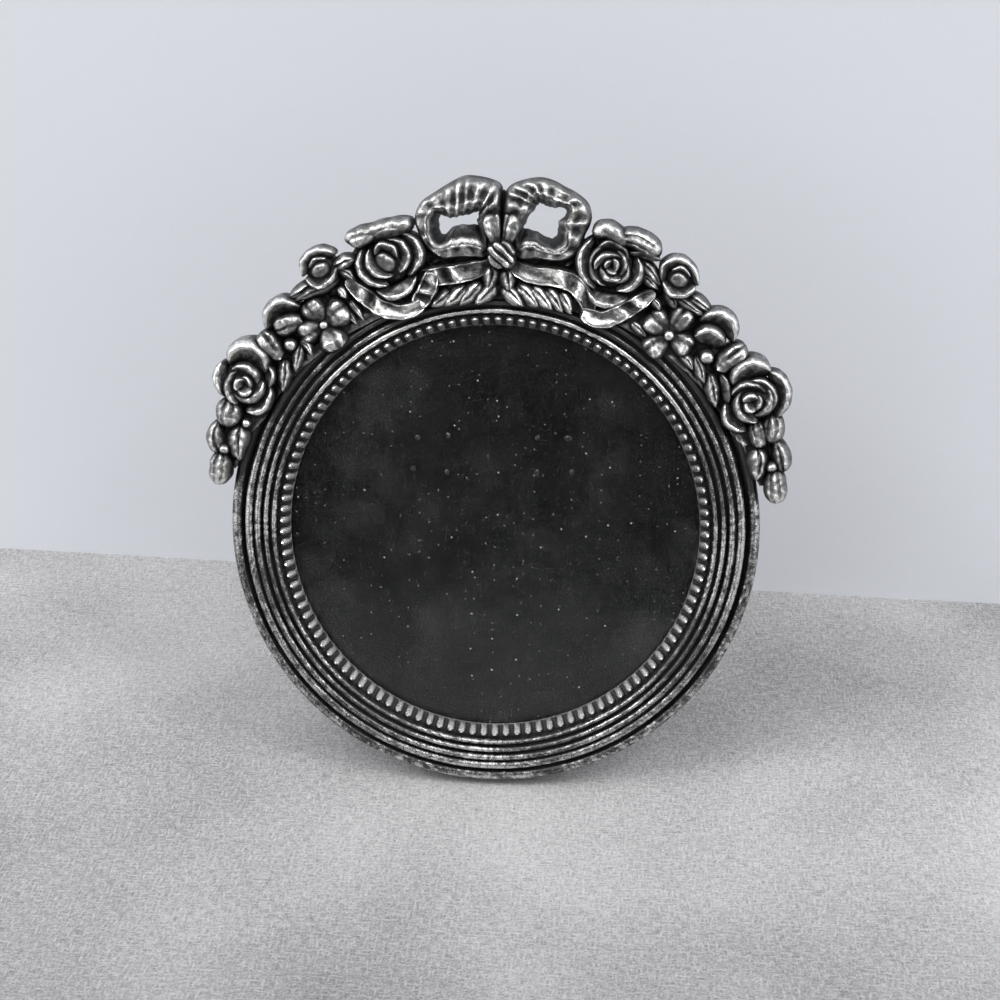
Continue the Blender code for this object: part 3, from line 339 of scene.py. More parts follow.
def makeVelvet():
    material, tree, shader = startMaterial("black velvet", {
        "Roughness": 0.9, "Specular IOR Level": 0.25, "Sheen Weight": 0.35, "Sheen Roughness": 0.4,
        "Sheen Tint": colour(0.5, 0.5, 0.55)})
    place = objectPlace(tree)
    rubbed = noise(tree, place, velvetLook["rubbed"], 4.0, 0.6)
    base = shadeBetween(tree, rubbed, 0.4, 0.7, velvetLook["dark"], velvetLook["pale"])
    lint = useGroup(tree, dustGroup, velvetLook["lint"])["Mask"]
    fine, soft = velvetLook["nap"]
    nap = maths(tree, 'ADD', noise(tree, place, fine, 2.0, 0.7), noise(tree, place, soft, 2.0))
    wire(tree, shader, {"Base Color": mixColours(tree, lint, base, velvetLook["lintGrey"]),
                        "Normal": bump(tree, nap, velvetLook["napDepth"])})
    return material


# Plated or brass sheet: colour where fresh and where aged, and roughness; fine brushing is stretched along the face
sheets = dict(steel=("dull steel", colour(0.55, 0.54, 0.52), colour(0.22, 0.20, 0.18), 0.42),
              brass=("tarnished brass", colour(0.66, 0.50, 0.26), colour(0.30, 0.21, 0.10), 0.40),
              brushing=(6000.0, 500.0, 500.0), stain=420.0, brushDepth=0.00002)


def makeSheetMetal(name, fresh, aged, roughness):
    material, tree, shader = startMaterial(name, dict(Metallic=1.0))
    place = objectPlace(tree)
    brushed = addNode(tree, 'Mapping', {"Vector": place, "Scale": sheets["brushing"]}).outputs[0]
    lines = noise(tree, brushed, 1.0, 2.0)
    stain = noise(tree, place, sheets["stain"], 5.0, 0.7)
    rough = scaled(tree, maths(tree, 'ADD', lines, stain), 0.22, roughness - 0.2)
    wire(tree, shader, {"Base Color": shadeBetween(tree, stain, 0.42, 0.68, fresh, aged), "Roughness": rough,
                        "Normal": bump(tree, lines, sheets["brushDepth"])})
    return material


crestPewter, ringPewter, beadPewter = makePewter("crest"), makePewter("ring"), makePewter("bead")
glassMaterial, dustMaterial, linerMaterial, velvetMaterial = makeGlass(), makeDust(), makeLiner(), makeVelvet()
steelMaterial, brassMaterial = makeSheetMetal(*sheets["steel"]), makeSheetMetal(*sheets["brass"])
print("materials are ready")


# Closed shells: each is (points, quads, triangles) in face coordinates. The sum of its corners' triple products is
# its volume, and a negative one turns its faces round
def turnedOut(points, quads, triangles):
    corners = np.vstack([quads[:, :3], quads[:, [0, 2, 3]], triangles])
    a, b, c = (points[corners[:, k]] - points.mean(0) for k in range(3))
    if np.einsum("ij,ij->i", a, np.cross(b, c)).sum() < 0:
        quads, triangles = quads[:, ::-1], triangles[:, ::-1]
    return points, quads, triangles


# Quads from each ring of point numbers to its partner
def joinQuads(first, second):
    return np.stack([first, np.roll(first, -1, 1), np.roll(second, -1, 1), second], -1).reshape(-1, 4)


# Rings of points in order along a form: neighbours are joined, and each end is a fan to the middle of its ring
def tubeShell(rings):
    rows, columns, _ = rings.shape
    index = np.arange(rows * columns).reshape(rows, columns)
    points = np.vstack([rings.reshape(-1, 3), rings[[0, -1]].mean(1)])
    first = np.stack([np.roll(index[0], -1), index[0], np.full(columns, index.size)], -1)
    last = np.stack([index[-1], np.roll(index[-1], -1), np.full(columns, index.size + 1)], -1)
    return turnedOut(points, joinQuads(index[:-1], index[1:]), np.vstack([first, last]))


# The same with the last ring joined to the first
def ringShell(rings):
    index = np.arange(rings[..., 0].size).reshape(rings.shape[:2])
    return turnedOut(rings.reshape(-1, 3), joinQuads(index, np.roll(index, -1, 0)), np.zeros((0, 3), int))


# Points at a radius and an angle from straight up, with heights if given: x = r sin a, u = r cos a
def around(radius, angle, *heights):
    return np.stack([radius * np.sin(angle), radius * np.cos(angle), *heights], -1)


# From first to second: first + (second - first) * share
def between(first, second, share):
    return first + (second - first) * share


# A ridge or groove over a value: height * exp(-((value - middle) / width)^2)
def ridge(value, height, middle, width):
    return height * np.exp(-((value - middle) / width) ** 2)


# A section (radius, height) carried round the face's middle
def turnedShell(section, columns):
    angle = np.arange(columns)[:, None] * math.tau / columns
    radius, height = np.asarray(section, float).T
    return ringShell(around(radius, angle, height + 0 * angle))


# A closed outline through the given corners, in steps about as long as asked
def fineOutline(corners, step):
    line = []
    for start, end in zip(corners, corners[1:] + corners[:1]):
        start, end = np.array(start, float), np.array(end, float)
        parts = max(1, round(np.linalg.norm(end - start) / step))
        line += [tuple(start + (end - start) * k / parts) for k in range(parts)]
    return line


# Catmull-Rom: from the second of every four neighbouring rows to the third, at the shares t of the way
def throughRows(known, t):
    a, b, c, d = (known[k:len(known) - 3 + k, None] for k in range(4))
    return 0.5 * (2 * b + (c - a) * t + (2 * a - 5 * b + 4 * c - d) * t ** 2 + (3 * b - a - 3 * c + d) * t ** 3)


# Points on a curve through the given rows, at even steps along its first two columns
def smoothPath(rows, count):
    known = np.asarray(rows, float)
    known = np.vstack([2 * known[0] - known[1], known, 2 * known[-1] - known[-2]])
    line = throughRows(known, np.linspace(0, 1, 24, endpoint=False)[None, :, None])
    line = np.vstack([line.reshape(-1, known.shape[1]), known[-2:-1]])
    run = np.r_[0, np.cumsum(np.linalg.norm(np.diff(line[:, :2], axis=0), axis=1))]
    wanted = np.linspace(0, run[-1], count)
    return np.stack([np.interp(wanted, run, column) for column in line.T], 1)


# The ring: radii and heights in mm, the steps of its lip, its reeds and the rest, and the gap from ledge to reeds. A
# reed's section is its rise times (1 - ((r - centre) / half width)^2)^0.6 over the groove
ring = dict(sight=38.6, rebate=41.9, shelf=4.9, lip=5.0, ledge=(40.6, 6.2), groove=6.9, columns=480,
            reeds=((41.3, 7.9, 0.62), (42.74, 8.0, 0.69), (44.32, 7.95, 0.77), (45.98, 7.65, 0.8)),
            quirk=(47.12, 5.0), flange=((47.5, 5.9), (47.85, 6.3), (48.3, 6.42), (48.8, 6.36), (49.2, 6.1),
                                        (49.45, 5.7), (49.52, 5.2)), edge=0.3, steps=(0.25, 0.07, 0.6), gap=0.02)


def makeRing():
    lipStep, reedStep, restStep = ring["steps"]
    radius = np.arange(ring["ledge"][0] + ring["gap"], ring["reeds"][-1][0] + ring["reeds"][-1][2], reedStep)
    height = np.full_like(radius, ring["groove"])
    for centre, top, half in ring["reeds"]:
        swell = np.clip(1 - ((radius - centre) / half) ** 2, 0, None) ** 0.6
        height = np.maximum(height, between(ring["groove"], top, swell))
    sight, rebate, shelf, edge = (ring[key] for key in ("sight", "rebate", "shelf", "edge"))
    outer = ring["flange"][-1][0]
    front = fineOutline([(sight, ring["lip"]), ring["ledge"]], lipStep)
    section = front[:len(front) // 2 + 1] + list(zip(radius, height)) + [ring["quirk"]] + list(ring["flange"])
    section += [(outer, edge), (outer - edge, 0), (rebate + edge, 0), (rebate, edge), (rebate, shelf), (sight, shelf)]
    return turnedShell(fineOutline(section, restStep), ring["columns"])


# The beads: the strip slopes up outwards, and each bead is a peg on it, cut off at the glass and round at its outer
# head. Lift = rise times its share of the climb from tail to head times sqrt(1 - |across / half|^2.2 - along^2), where
# along counts beyond the head only; 8 columns to a bead
beads = dict(count=117, inner=38.4, outer=40.38, floor=4.9, low=5.0, high=6.35, rise=1.75, tail=0.3, half=(0.29, 0.365),
             head=0.6, outward=0.37, columns=(-0.5, -0.37, -0.29, -0.16, 0.0, 0.16, 0.29, 0.37),
             rows=(0, 0.16, 0.34, 0.5, 0.64, 0.78, 0.88, 0.95, 1.0))


def makeBeads():
    share = np.array(beads["rows"])
    across = np.tile(beads["columns"], beads["count"])
    angle = (np.repeat(np.arange(beads["count"]), len(beads["columns"])) + across) * math.tau / beads["count"]
    climb = np.clip(share / beads["head"], 0, 1)
    beyond = np.clip(share - beads["head"], 0, None) / beads["outward"]
    dome = 1 - np.abs(across[:, None] / between(*beads["half"], climb)) ** 2.2 - beyond ** 2
    rise = beads["rise"] * between(beads["tail"], 1, climb)
    lift = between(beads["low"], beads["high"], share) + rise * np.sqrt(np.clip(dome, 0, None))
    radius = between(beads["inner"], beads["outer"], share) + 0 * lift
    below = np.array([beads["outer"], beads["inner"]]) + np.zeros((len(angle), 2))
    lift = np.hstack([lift, np.full_like(below, beads["floor"])])
    return ringShell(around(np.hstack([radius, below]), angle[:, None], lift))


# The garland was measured on one plane as seen from one place, mm. A point at another height lies on the line from its
# place on that plane to where it was seen from
traced = dict(plane=10.0, right=0.27, up=1.08, shrink=0.997, seenFrom=(23.1, 85.1, 369.6))


def settle(flat, height):
    flat = np.asarray(flat, float) * traced["shrink"] + [traced["right"], traced["up"]]
    share = (np.asarray(height, float)[..., None] - traced["plane"]) / (traced["seenFrom"][2] - traced["plane"])
    return flat + (np.array(traced["seenFrom"][:2]) - flat) * share


# Hand-cast unevenness: a product of two bent sine waves over the face
def uneven(flat):
    x, u = flat[..., 0], flat[..., 1]
    return np.sin(2.3 * x + 1.4 * np.sin(1.9 * u) + 0.7) * np.sin(2.0 * u + 1.2 * np.sin(1.5 * x + 1.0))


# The crest's ground: degrees from the top with inner and outer radius, the same on both sides. Its top is just over
# the reeds and slopes down outside the ring (from a radius, over a width), with lumps of foliage in the gaps between
# the flowers. Its back is bevelled at the outer edge and steps up where it crosses the ring
ground = dict(edge=((0, 42.6, 50.3), (8, 42.6, 51.4), (14, 42.7, 54.0), (17, 42.9, 57.3), (22, 43.2, 57.9),
                    (27, 43.9, 57.7), (30, 44.3, 56.0), (34, 44.5, 57.0), (37, 44.8, 56.2), (41, 45.1, 54.6),
                    (46, 45.5, 54.9), (52, 46.1, 53.1), (57, 46.6, 55.6), (62, 46.9, 56.0), (66, 47.1, 55.5),
                    (70, 48.3, 53.6), (76, 48.7, 52.8), (79, 49.6, 51.8)),
              top=8.25, outerTop=7.4, slope=(46.6, 1.2), back=4.8, bevel=(0.15, 0.4, 0.25), ringEdge=49.6,
              overRing=5.2, lumps=1.3, lumpScale=0.62, level=9.0, columns=317, rows=30)


def makeGround():
    known = np.array(ground["edge"], float)
    mirrored = np.vstack([known[:0:-1] * [-1, 1, 1], known])
    angle = np.linspace(-known[-1, 0], known[-1, 0], ground["columns"])
    inner, outer = (np.interp(angle, mirrored[:, 0], mirrored[:, k])[:, None] for k in (1, 2))
    turn = np.radians(angle)[:, None]
    share = np.linspace(0, 1, ground["rows"])[None]
    radius = between(inner, outer, share)
    slope, width = ground["slope"]
    height = between(ground["top"], ground["outerTop"], np.clip((radius - slope) / width, 0, 1))
    lumps = np.clip(uneven(around(radius, turn) * ground["lumpScale"] + 1), 0, 1) ** 0.6
    height += ground["lumps"] * lumps * np.sin(math.pi * share) ** 0.5
    first, second, lift = ground["bevel"]
    under = np.hstack([outer - first, outer - second, np.maximum(inner, ground["ringEdge"]), inner])
    back = ground["back"]
    height = np.hstack([height, np.tile([back + lift, back, back, ground["overRing"]], (len(angle), 1))])
    flat = settle(around(np.hstack([radius, under]), turn), ground["level"])
    return tubeShell(np.concatenate([flat, height[..., None]], -1))


# Shapes of a form's top over s, 0 to 1 along it, and t, -1 to 1 across it, as shares of its crown's height. A ridge
# or groove is given by its height, its middle in t and its width
tops = dict(lip=0.35, lipFoot=0.3, leafGroove=(0.34, 0.12, 0.13), petalCrease=(0.3, -0.2, 0.15),
            petalRim=(0.14, 0.62, 0.2), lobes=(0.27, 0.32, 0.12), dish=(0.2, -0.15, 0.4), band=0.66,
            bandRim=(0.36, 0.78, 0.12), bandFolds=0.34, bandWaves=17, turnWaves=5)


def domeTop(s, t):
    return np.sqrt(np.clip(1 - t ** 2, 0, None))


# A lip that falls in a round outwards and in a hollow slope inwards
def lipTop(s, t):
    lip, foot = tops["lip"], tops["lipFoot"]
    outward = np.clip((t - lip) / (1 - lip), 0, 1)
    inward = np.clip((lip - t) / (1 + lip), 0, 1)
    return np.where(t > lip, np.sqrt(1 - outward ** 2), between(foot, 1, (1 - inward) ** 1.6) * (1 - inward ** 12))


# Two rounded slopes with a narrow winding groove between them that fades at the tip
def leafTop(s, t):
    depth, winding, width = tops["leafGroove"]
    groove = ridge(t, depth, winding * np.sin(3 * s), width) * (1 - s) ** 0.3
    return np.clip((1 - np.abs(t) ** 2) ** 0.7 * (1 + 0.15 * t) - groove, 0, None)


# A blossom's petal: higher on one side, with an off-centre crease that deepens outwards
def petalTop(s, t):
    crease = ridge(t, *tops["petalCrease"]) * (0.1 + 0.9 * s)
    edge = ridge(np.abs(t), *tops["petalRim"]) * s
    return np.clip((1 - np.abs(t) ** 2.4) ** 0.5 * (1 + 0.2 * t) - crease + edge, 0, None)


# Three lobes side by side
def lobedTop(s, t):
    return np.clip(domeTop(s, t) - ridge(np.abs(t + 0.08), *tops["lobes"]) * (1 - 0.7 * s), 0, None)


# A petal: a broad dome whose one side stands higher, a little dished along its middle
def cupTop(s, t):
    dish = ridge(t, *tops["dish"]) * np.sin(math.pi * s ** 0.7)
    return np.clip(np.sqrt(np.clip(1 - np.abs(t) ** 2.6, 0, None)) * (1 + 0.22 * t) - dish, 0, None)


# A band with raised rims and soft folds across it
def ribbonTop(s, t, waves=tops["bandWaves"]):
    folds = tops["bandFolds"] * np.sin(waves * s + 1.7 * np.sin(8 * s + 1) + 1.4 * t)
    folds = folds * np.clip(1 - t ** 2, 0, None) ** 0.7
    return np.clip(tops["band"] * (1 - np.abs(t) ** 6) ** 0.5 + ridge(np.abs(t), *tops["bandRim"]) + folds, 0, None)


def turnTop(s, t):
    return ribbonTop(s, t, tops["turnWaves"])


# Plan of a form's ends: its width over s as a share of the widest, and how its crown falls towards the ends; the
# ratio is half its width to its length. Round ends are quarter ellipses in the distance to the end
def roundEnds(s, ratio):
    near = np.clip(1 - np.minimum(s, 1 - s) / min(0.5, 1.25 * ratio), 0, 1)
    return (1 - near ** 2.2) ** 0.5, (1 - near ** 3.5) ** 0.5


# Round up to two fifths of the length, then drawn out to a tip
def pointedEnd(s, ratio):
    foot = np.clip(1 - np.abs(s / 0.42 - 1) ** 2.4, 0, None) ** 0.5
    tip = np.cos((s - 0.42) / 0.58 * math.pi / 2) ** 0.8
    return np.where(s < 0.42, foot, tip), (1 - np.abs(2 * s - 1) ** 4) ** 0.5


# Widens from a cut-off foot up to three fifths of the length, then round
def petalEnds(s, ratio):
    foot = 0.6 + 0.4 * np.sin(math.pi / 2 * s / 0.62)
    wide = np.where(s < 0.62, foot, (1 - np.clip(s / 0.38 - 1.632, 0, 1) ** 2.5) ** 0.5)
    rise = np.where(s < 0.6, 0.6 + 0.4 * s / 0.6, (1 - np.clip(s / 0.4 - 1.5, 0, 1) ** 3) ** 0.5)
    return wide * np.clip(s / 0.08, 0, 1) ** 0.5, rise


def taperedEnds(s, ratio):
    return np.sin(math.pi * s) ** 0.5, np.sin(math.pi * s) ** 0.3


def bandEnds(s, ratio):
    return (1 - np.abs(2 * s - 1) ** 14) ** 0.5, (1 - np.abs(2 * s - 1) ** 10) ** 0.5


# Each kind's top and ends. Heights of the plane that crowns rise from and of the back, mm; how deep the edges lie
# under the crown, to the half width and at most; a form's rows and columns; its unevenness; and its underside's
# columns across with their height over the back
kinds = dict(dome=(domeTop, roundEnds), lip=(lipTop, taperedEnds), leaf=(leafTop, pointedEnd),
             lobed=(lobedTop, roundEnds), cup=(cupTop, roundEnds), ribbon=(ribbonTop, bandEnds),
             turn=(turnTop, bandEnds), petal=(petalTop, petalEnds))
carving = dict(level=8.8, back=5.0, steep=1.25, deepest=0.9, rows=38, columns=21, ends=0.006, uneven=0.13,
               evenBelow=1.6, stray=0.1, strayScale=0.6, under=(1.0, 0.97, -0.97, -1.0), bevel=(0.2, 0, 0, 0.2),
               fuller=dict(lip=1.25, leaf=1.3, cup=1.36, lobed=1.15))


# A form of the crest: its section is carried along a line. Half width and crown are given at the line's points.
# Across the line the section is the kind's top down to the edge's level, then upright walls down to the back
def makeForm(kind, side, points, half, crown):
    top, ends = kinds[kind]
    half = np.asarray(half) * carving["fuller"].get(kind, 1.0)
    given = np.column_stack([points, np.broadcast_to(half, len(points)), np.broadcast_to(crown, len(points))])
    line = smoothPath(given, carving["rows"])
    half, crown = line[:, 2:3], line[:, 3:4]
    path = settle(line[:, :2], carving["level"] + line[:, 3])
    run = np.gradient(path, axis=0)
    run /= np.linalg.norm(run, axis=1, keepdims=True)
    left = np.stack([-run[:, 1], run[:, 0]], 1)[:, None]
    s = np.linspace(carving["ends"], 1 - carving["ends"], carving["rows"])[:, None]
    t = -np.cos(np.linspace(0, math.pi, carving["columns"]))[None]
    widths, falls = ends(s, half.max() / np.linalg.norm(np.diff(path, axis=0), axis=1).sum())
    reach = np.hstack([t + 0 * s, np.tile(carving["under"], (len(s), 1))]) * (half * widths)
    flat = path[:, None] + left * reach[..., None]
    flat += carving["stray"] * uneven(flat * carving["strayScale"] + 3)[..., None] * left
    deep = np.minimum(carving["steep"] * half, crown + carving["deepest"])
    level = carving["level"] + crown - deep
    rough = carving["uneven"] * uneven(flat[:, :t.size]) * (1 - t ** 8) * np.minimum(1, half / carving["evenBelow"])
    height = level + deep * top(s, t * side) * falls + rough * np.minimum(1, deep)
    below = np.tile(carving["back"] + np.array(carving["bevel"]), (len(s), 1))
    return tubeShell(np.concatenate([flat, np.hstack([height, below])[..., None]], -1))


def makeDome(x, u, radius, crown):
    return makeForm("dome", 1, [(x - radius, u), (x, u), (x + radius, u)], radius, crown)


# A step of length 1 in a direction, degrees from the right
def stepTo(degrees):
    return np.array([math.cos(math.radians(degrees)), math.sin(math.radians(degrees))])


# A leaf by its middle, length, width, the way its tip points in degrees, and crown
def makeLeaf(x, u, length, width, way, crown):
    half = stepTo(way) * length / 2
    return makeForm("leaf", 1, [(x, u) - half, (x, u), (x, u) + half], width / 2, crown)


# Petals round a blossom's heart, from just off it: (way outwards in degrees, how far it reaches, width)
blossom = dict(heart=0.7)


def makeBlossom(x, u, crown, petals):
    shells = []
    for way, reach, width in petals:
        points = [(x, u) + stepTo(way) * part for part in (blossom["heart"], (blossom["heart"] + reach) / 2, reach)]
        shells.append(makeForm("petal", 1 if way % 2 else -1, points, width / 2, crown))
    return shells


# Petals round a rose's heart, each sliding outwards over the start of the next. A petal's distance from the heart is
# the radius times start + outwards * share - inwards * sin(pi share) and a little that differs from petal to petal;
# its crown climbs along it, and each is lower than the one before
whorl = dict(points=9, overlap=1.3, start=0.9, outwards=0.42, inwards=0.36, differ=0.1, widthDiffer=0.22,
             width=(0.8, 0.35), climb=0.8, lower=0.2)


def makeWhorl(x, u, radius, start, count, half, crown):
    share = np.linspace(0, 1, whorl["points"])
    arch = np.sin(math.pi * share)
    narrow, wider = whorl["width"]
    shells = []
    for petal in range(count):
        angle = math.radians(start) + (petal + whorl["overlap"] * share) * math.tau / count
        reach = whorl["start"] + whorl["outwards"] * share - whorl["inwards"] * arch
        reach = radius * (reach + whorl["differ"] * math.sin(2.6 * petal + x))
        wide = half * (1 + whorl["widthDiffer"] * math.sin(1.9 * petal + u)) * (narrow + wider * arch)
        points = np.stack([x + reach * np.cos(angle), u + reach * np.sin(angle)], 1)
        shells.append(makeForm("lip", -1, points, wide, crown + whorl["climb"] * share - whorl["lower"] * petal))
    return shells


# Left and right halves of the garland, mm. A rose is a low dome under lips, with petals round its heart
leftGarland = dict(
    domes=((-20.2, 49.2, 4.4, 1.5), (-32.7, 47.4, 2.9, 1.2), (-46.8, 25.8, 4, 1.3), (-31.9, 37.2, 2.6, 0.6)),
    forms=(
        ("dome", 1, (-28.3, 52.5, -25, 53.5, -20.6, 55, -16, 55.8, (1.5, 1.65, 1.4, 1.4), (2.9, 3.1, 3.2, 2.9)),
         (-27.6, 52, -25.4, 52.6, -22.6, 53.6, (1.1, 1.3, 0.8), (3.1, 3.5, 3))),
        ("lip", 1, (-24, 52.4, -20.6, 54, -16.2, 54.8, (0.8, 1, 0.8), (2.8, 3.4, 2.8)),
         (-18.4, 54, -15.8, 52.4, -15, 49.6, -16.6, 46.4, 1.2, 2.8),
         (-20.9, 52.8, -18.2, 51.9, -17, 49.4, -18.4, 46.9, 0.95, 3)),
        ("lip", -1, (-24.9, 51, -25.2, 47.9, -23.4, 45.5, -20.2, 44.5, 1.1, 2.6),
         (-23.6, 51, -23.6, 48.4, -21.9, 46.6, -19.4, 46.3, 0.85, 2.9),
         (-22.6, 43.6, -19.6, 43, -16.9, 44.2, -15.2, 46.6, 1.2, 2.2)),
        ("lip", 1, (-22.7, 50, -21.8, 51.6, -19.8, 51.3, -18.6, 49.6, 0.75, 3.3)),
        ("cup", 1, (-22.6, 49.9, -20.8, 48.7, -18.8, 48.1, 1.4, 3.2)),
        ("lip", 1, (-36, 45.6, -35.3, 48.4, -33.2, 50, -30.2, 49.9, 1.05, 2.5)),
        ("lip", -1, (-35.4, 45.4, -33.2, 44.4, -31, 45.6, -29.8, 47.9, 1.1, 2.3)),
        ("cup", 1, (-34.3, 46.2, -32.8, 46.9, -31.3, 48.1, 1.1, 2.9)),
        ("lip", 1, (-34.7, 47.3, -33.5, 48.6, -31.6, 49.1, 0.6, 2.7),
         (-42.4, 35.6, -41.9, 38.6, -39.9, 40.3, -36.4, 40, 1.45, 2.3),
         (-49.6, 28.8, -48.4, 31, -46.2, 31.6, -44.1, 30.4, -43.2, 27.4, 1.95, 2.8)),
        ("lip", -1, (-50.8, 29.5, -51.4, 26.4, -50.3, 23, 1.2, 2.1), (-46.6, 20.5, -43.6, 21.4, -42, 25.2, 1.2, 1.9)),
        ("lip", 1, (-42.6, 29.6, -41.9, 27.3, -42.5, 24.8, 0.85, 1.7)),
        ("petal", -1, (-36, 37.3, -38.4, 36.9, -41.3, 35.7, 2.1, 2.5)),
        ("petal", 1, (-40, 30.4, -41.8, 32.6, -43.9, 35.2, 2.2, 2.2)),
        ("leaf", 1, (-29.2, 45.5, -33.4, 43.4, -37.8, 41, 1.1, 1.8), (-33.9, 44.5, -36.2, 43.1, -38.6, 41.4, 1.1, 1.4),
         (-36.3, 34, -34.9, 32.9, -34.1, 31.2, 0.7, 1.3), (-29.3, 43.9, -28.5, 42.9, -27.8, 41.9, 0.65, 2),
         (-27.2, 41.5, -25.9, 39.8, -24.6, 38, 0.65, 1.3), (-28, 40, -27, 38.6, -25.8, 37.2, 0.6, 1.1),
         (-29.8, 47.4, -27.6, 46.4, -25.8, 44.8, 0.85, 1.5)),
        ("lobed", 1, (-49.2, 22.9, -49.8, 20, -50.1, 17, 2.3, 1.8)),
        ("leaf", 1, (-51.4, 12.2, -52.3, 15.5, -51.6, 18.8, 1.5, 1.3)),
        ("lobed", 1, (-51.1, 12.7, -51.6, 9.4, -51.9, 6.2, 1.85, 1.5)),
        ("leaf", 1, (-47.6, 17.7, -48.3, 14.2, -47.8, 10.9, 1.75, 1.5))),
    leaves=((-39.4, 27.2, 6.2, 2.4, -95, 1.4), (-36.8, 30.6, 5.4, 1.8, -100, 1.3), (-28.2, 48.4, 5, 2.6, 25, 2)),
    blossom=(-32, 36.9, 2, ((128, 5.4, 5.2), (42, 5.6, 5.8), (206, 5.2, 4.8), (300, 5.3, 5.4))),
    berries=((-32, 36.9, 0.8, 2.2), (-38.2, 33.1, 1.2, 1.9), (-50.6, 13.2, 1, 1.5), (-46.4, 18.3, 0.85, 1.2)),
    whorls=((-46.9, 25.4, 2.75, 215, 3, 1.3, 2.3), (-46.9, 25.2, 1.2, 60, 3, 0.72, 2.9)))
rightGarland = dict(
    domes=((20.3, 49.3, 4.4, 1.5), (32.6, 47.4, 2.9, 1.2), (46.9, 25.6, 4.1, 1.3), (31.2, 37.2, 2.6, 0.6)),
    forms=(
        ("dome", 1, (16.5, 55, 19.2, 55.5, 21.6, 54.3, 22.9, 52.6, (1.4, 1.65, 1.55, 1.2), (2.9, 3.2, 3.1, 2.7))),
        ("lobed", 1, (20.9, 54.6, 25.2, 53.7, 29, 51.3, (1.3, 1.7, 1.5), (2.7, 3.4, 2.8))),
        ("lip", 1, (23.3, 51.5, 25.8, 51.4, 28.9, 50.3, 0.6, 2.4)),
        ("lip", -1, (16.7, 54, 15.1, 51.2, 15.3, 48, 17.4, 45, 1.1, 2.7),
         (18.6, 52.9, 17, 50.4, 17.2, 47.6, 19.2, 45.5, 0.8, 2.6)),
        ("lip", 1, (17.4, 52, 19.6, 53.1, 21.8, 52.2, 23.3, 50, 0.75, 2.7),
         (24.5, 51, 25, 48.2, 23.6, 45.9, 21.2, 44.7, 1.15, 2.6)),
        ("lip", -1, (15.6, 45.8, 17.7, 43.3, 20.4, 42.7, 23.4, 43.8, 1.2, 2.1)),
        ("lip", 1, (23, 49.9, 22.7, 47.5, 20.9, 46.2, 0.65, 2.7),
         (29.4, 46.6, 30, 49.4, 32.3, 50.1, 34.7, 48.6, 35.9, 46, 1, 2.5)),
        ("lip", -1, (29.6, 46.9, 31.2, 44.9, 33.6, 44.8, 35.4, 46.2, 1, 2.3)),
        ("cup", 1, (30.9, 47.7, 32.3, 47, 34, 46.3, 1.1, 2.8)),
        ("lip", 1, (31, 48.7, 32.8, 48.9, 34.4, 47.6, 0.6, 2.8),
         (36.5, 39.6, 39.4, 40.5, 41.8, 39.2, 42.6, 35.9, 1.45, 2.3),
         (43.3, 27.6, 44.4, 30.3, 46.8, 31.4, 49.8, 30.4, 1.9, 2.8),
         (49.2, 30.8, 51.6, 28.7, 52.2, 25.8, 51, 22.4, 1.3, 2.2),
         (45.8, 28.9, 48.6, 28.5, 50.2, 26.4, 50, 23.4, 0.85, 2.5)),
        ("lip", -1, (41.9, 24.8, 42.7, 21.6, 45.8, 19.8, 1.2, 1.9)),
        ("lip", 1, (40.9, 30.1, 41.7, 27.6, 42.2, 24.8, 0.8, 1.6), (35.5, 36.4, 38.4, 37.1, 41.2, 35.2, 1.75, 2.3)),
        ("petal", -1, (40, 30.8, 42.2, 32.9, 45, 35.2, 2.2, 2.2)),
        ("leaf", 1, (31.4, 44.2, 34.2, 42.4, 37.4, 40.4, 1, 1.7), (33.9, 44.4, 36.2, 42.8, 38.9, 40.9, 1.15, 1.4),
         (25.3, 50.4, 27.3, 48.1, 29.3, 45.6, 1.05, 1.9), (24.9, 47.6, 26.7, 46.9, 28.8, 44.9, 0.85, 1.6),
         (30, 44.9, 31.3, 43.3, 32, 41.4, 1, 1.5), (27.6, 43.4, 28.6, 42.4, 29.2, 41.2, 0.7, 1.6),
         (33.3, 33.4, 34.6, 32.4, 35.6, 30.6, 0.75, 1.3), (24, 39.1, 25.6, 37.9, 27.2, 36.3, 0.7, 1.2)),
        ("lobed", 1, (50.2, 23.1, 50.6, 20.4, 50.1, 17.4, 2, 1.8), (47.2, 21.8, 47.9, 19.3, 48.7, 16.6, 1.4, 1.7)),
        ("leaf", 1, (52.9, 12.2, 52.4, 15.5, 51, 18.8, 1.4, 1.3)),
        ("lobed", 1, (51.2, 12.7, 51.6, 9.4, 52, 6.2, 1.85, 1.5)),
        ("leaf", 1, (48, 16.7, 48.2, 13.5, 47.9, 10.3, 1.55, 1.5))),
    leaves=((36.8, 30.7, 5.4, 1.8, -70, 1.3), (39.3, 26.9, 6.4, 2.3, -78, 1.4)),
    blossom=(31, 36.9, 2, ((137, 5.4, 5.6), (56, 6.2, 4.6), (219, 5.3, 5), (330, 5, 4.8))),
    berries=((31, 36.9, 0.95, 2.4), (38, 33.1, 1.3, 1.9), (50.7, 13.2, 1, 1.5)),
    whorls=((46.7, 25.3, 2.8, 130, 3, 1.3, 2.3), (46.6, 25, 1.2, 20, 3, 0.72, 2.9), (20.2, 49.1, 2.15, 35, 3, 0.9, 2.9),
            (20.2, 49.1, 0.95, 280, 3, 0.5, 3.3)))


# Forms of one kind and side: a row has x and u of its line's points, then half width and crown, alike or for each point
def makeForms(groups):
    return [makeForm(kind, side, np.reshape(points, (-1, 2)), half, crown)
            for kind, side, *rows in groups for *points, half, crown in rows]


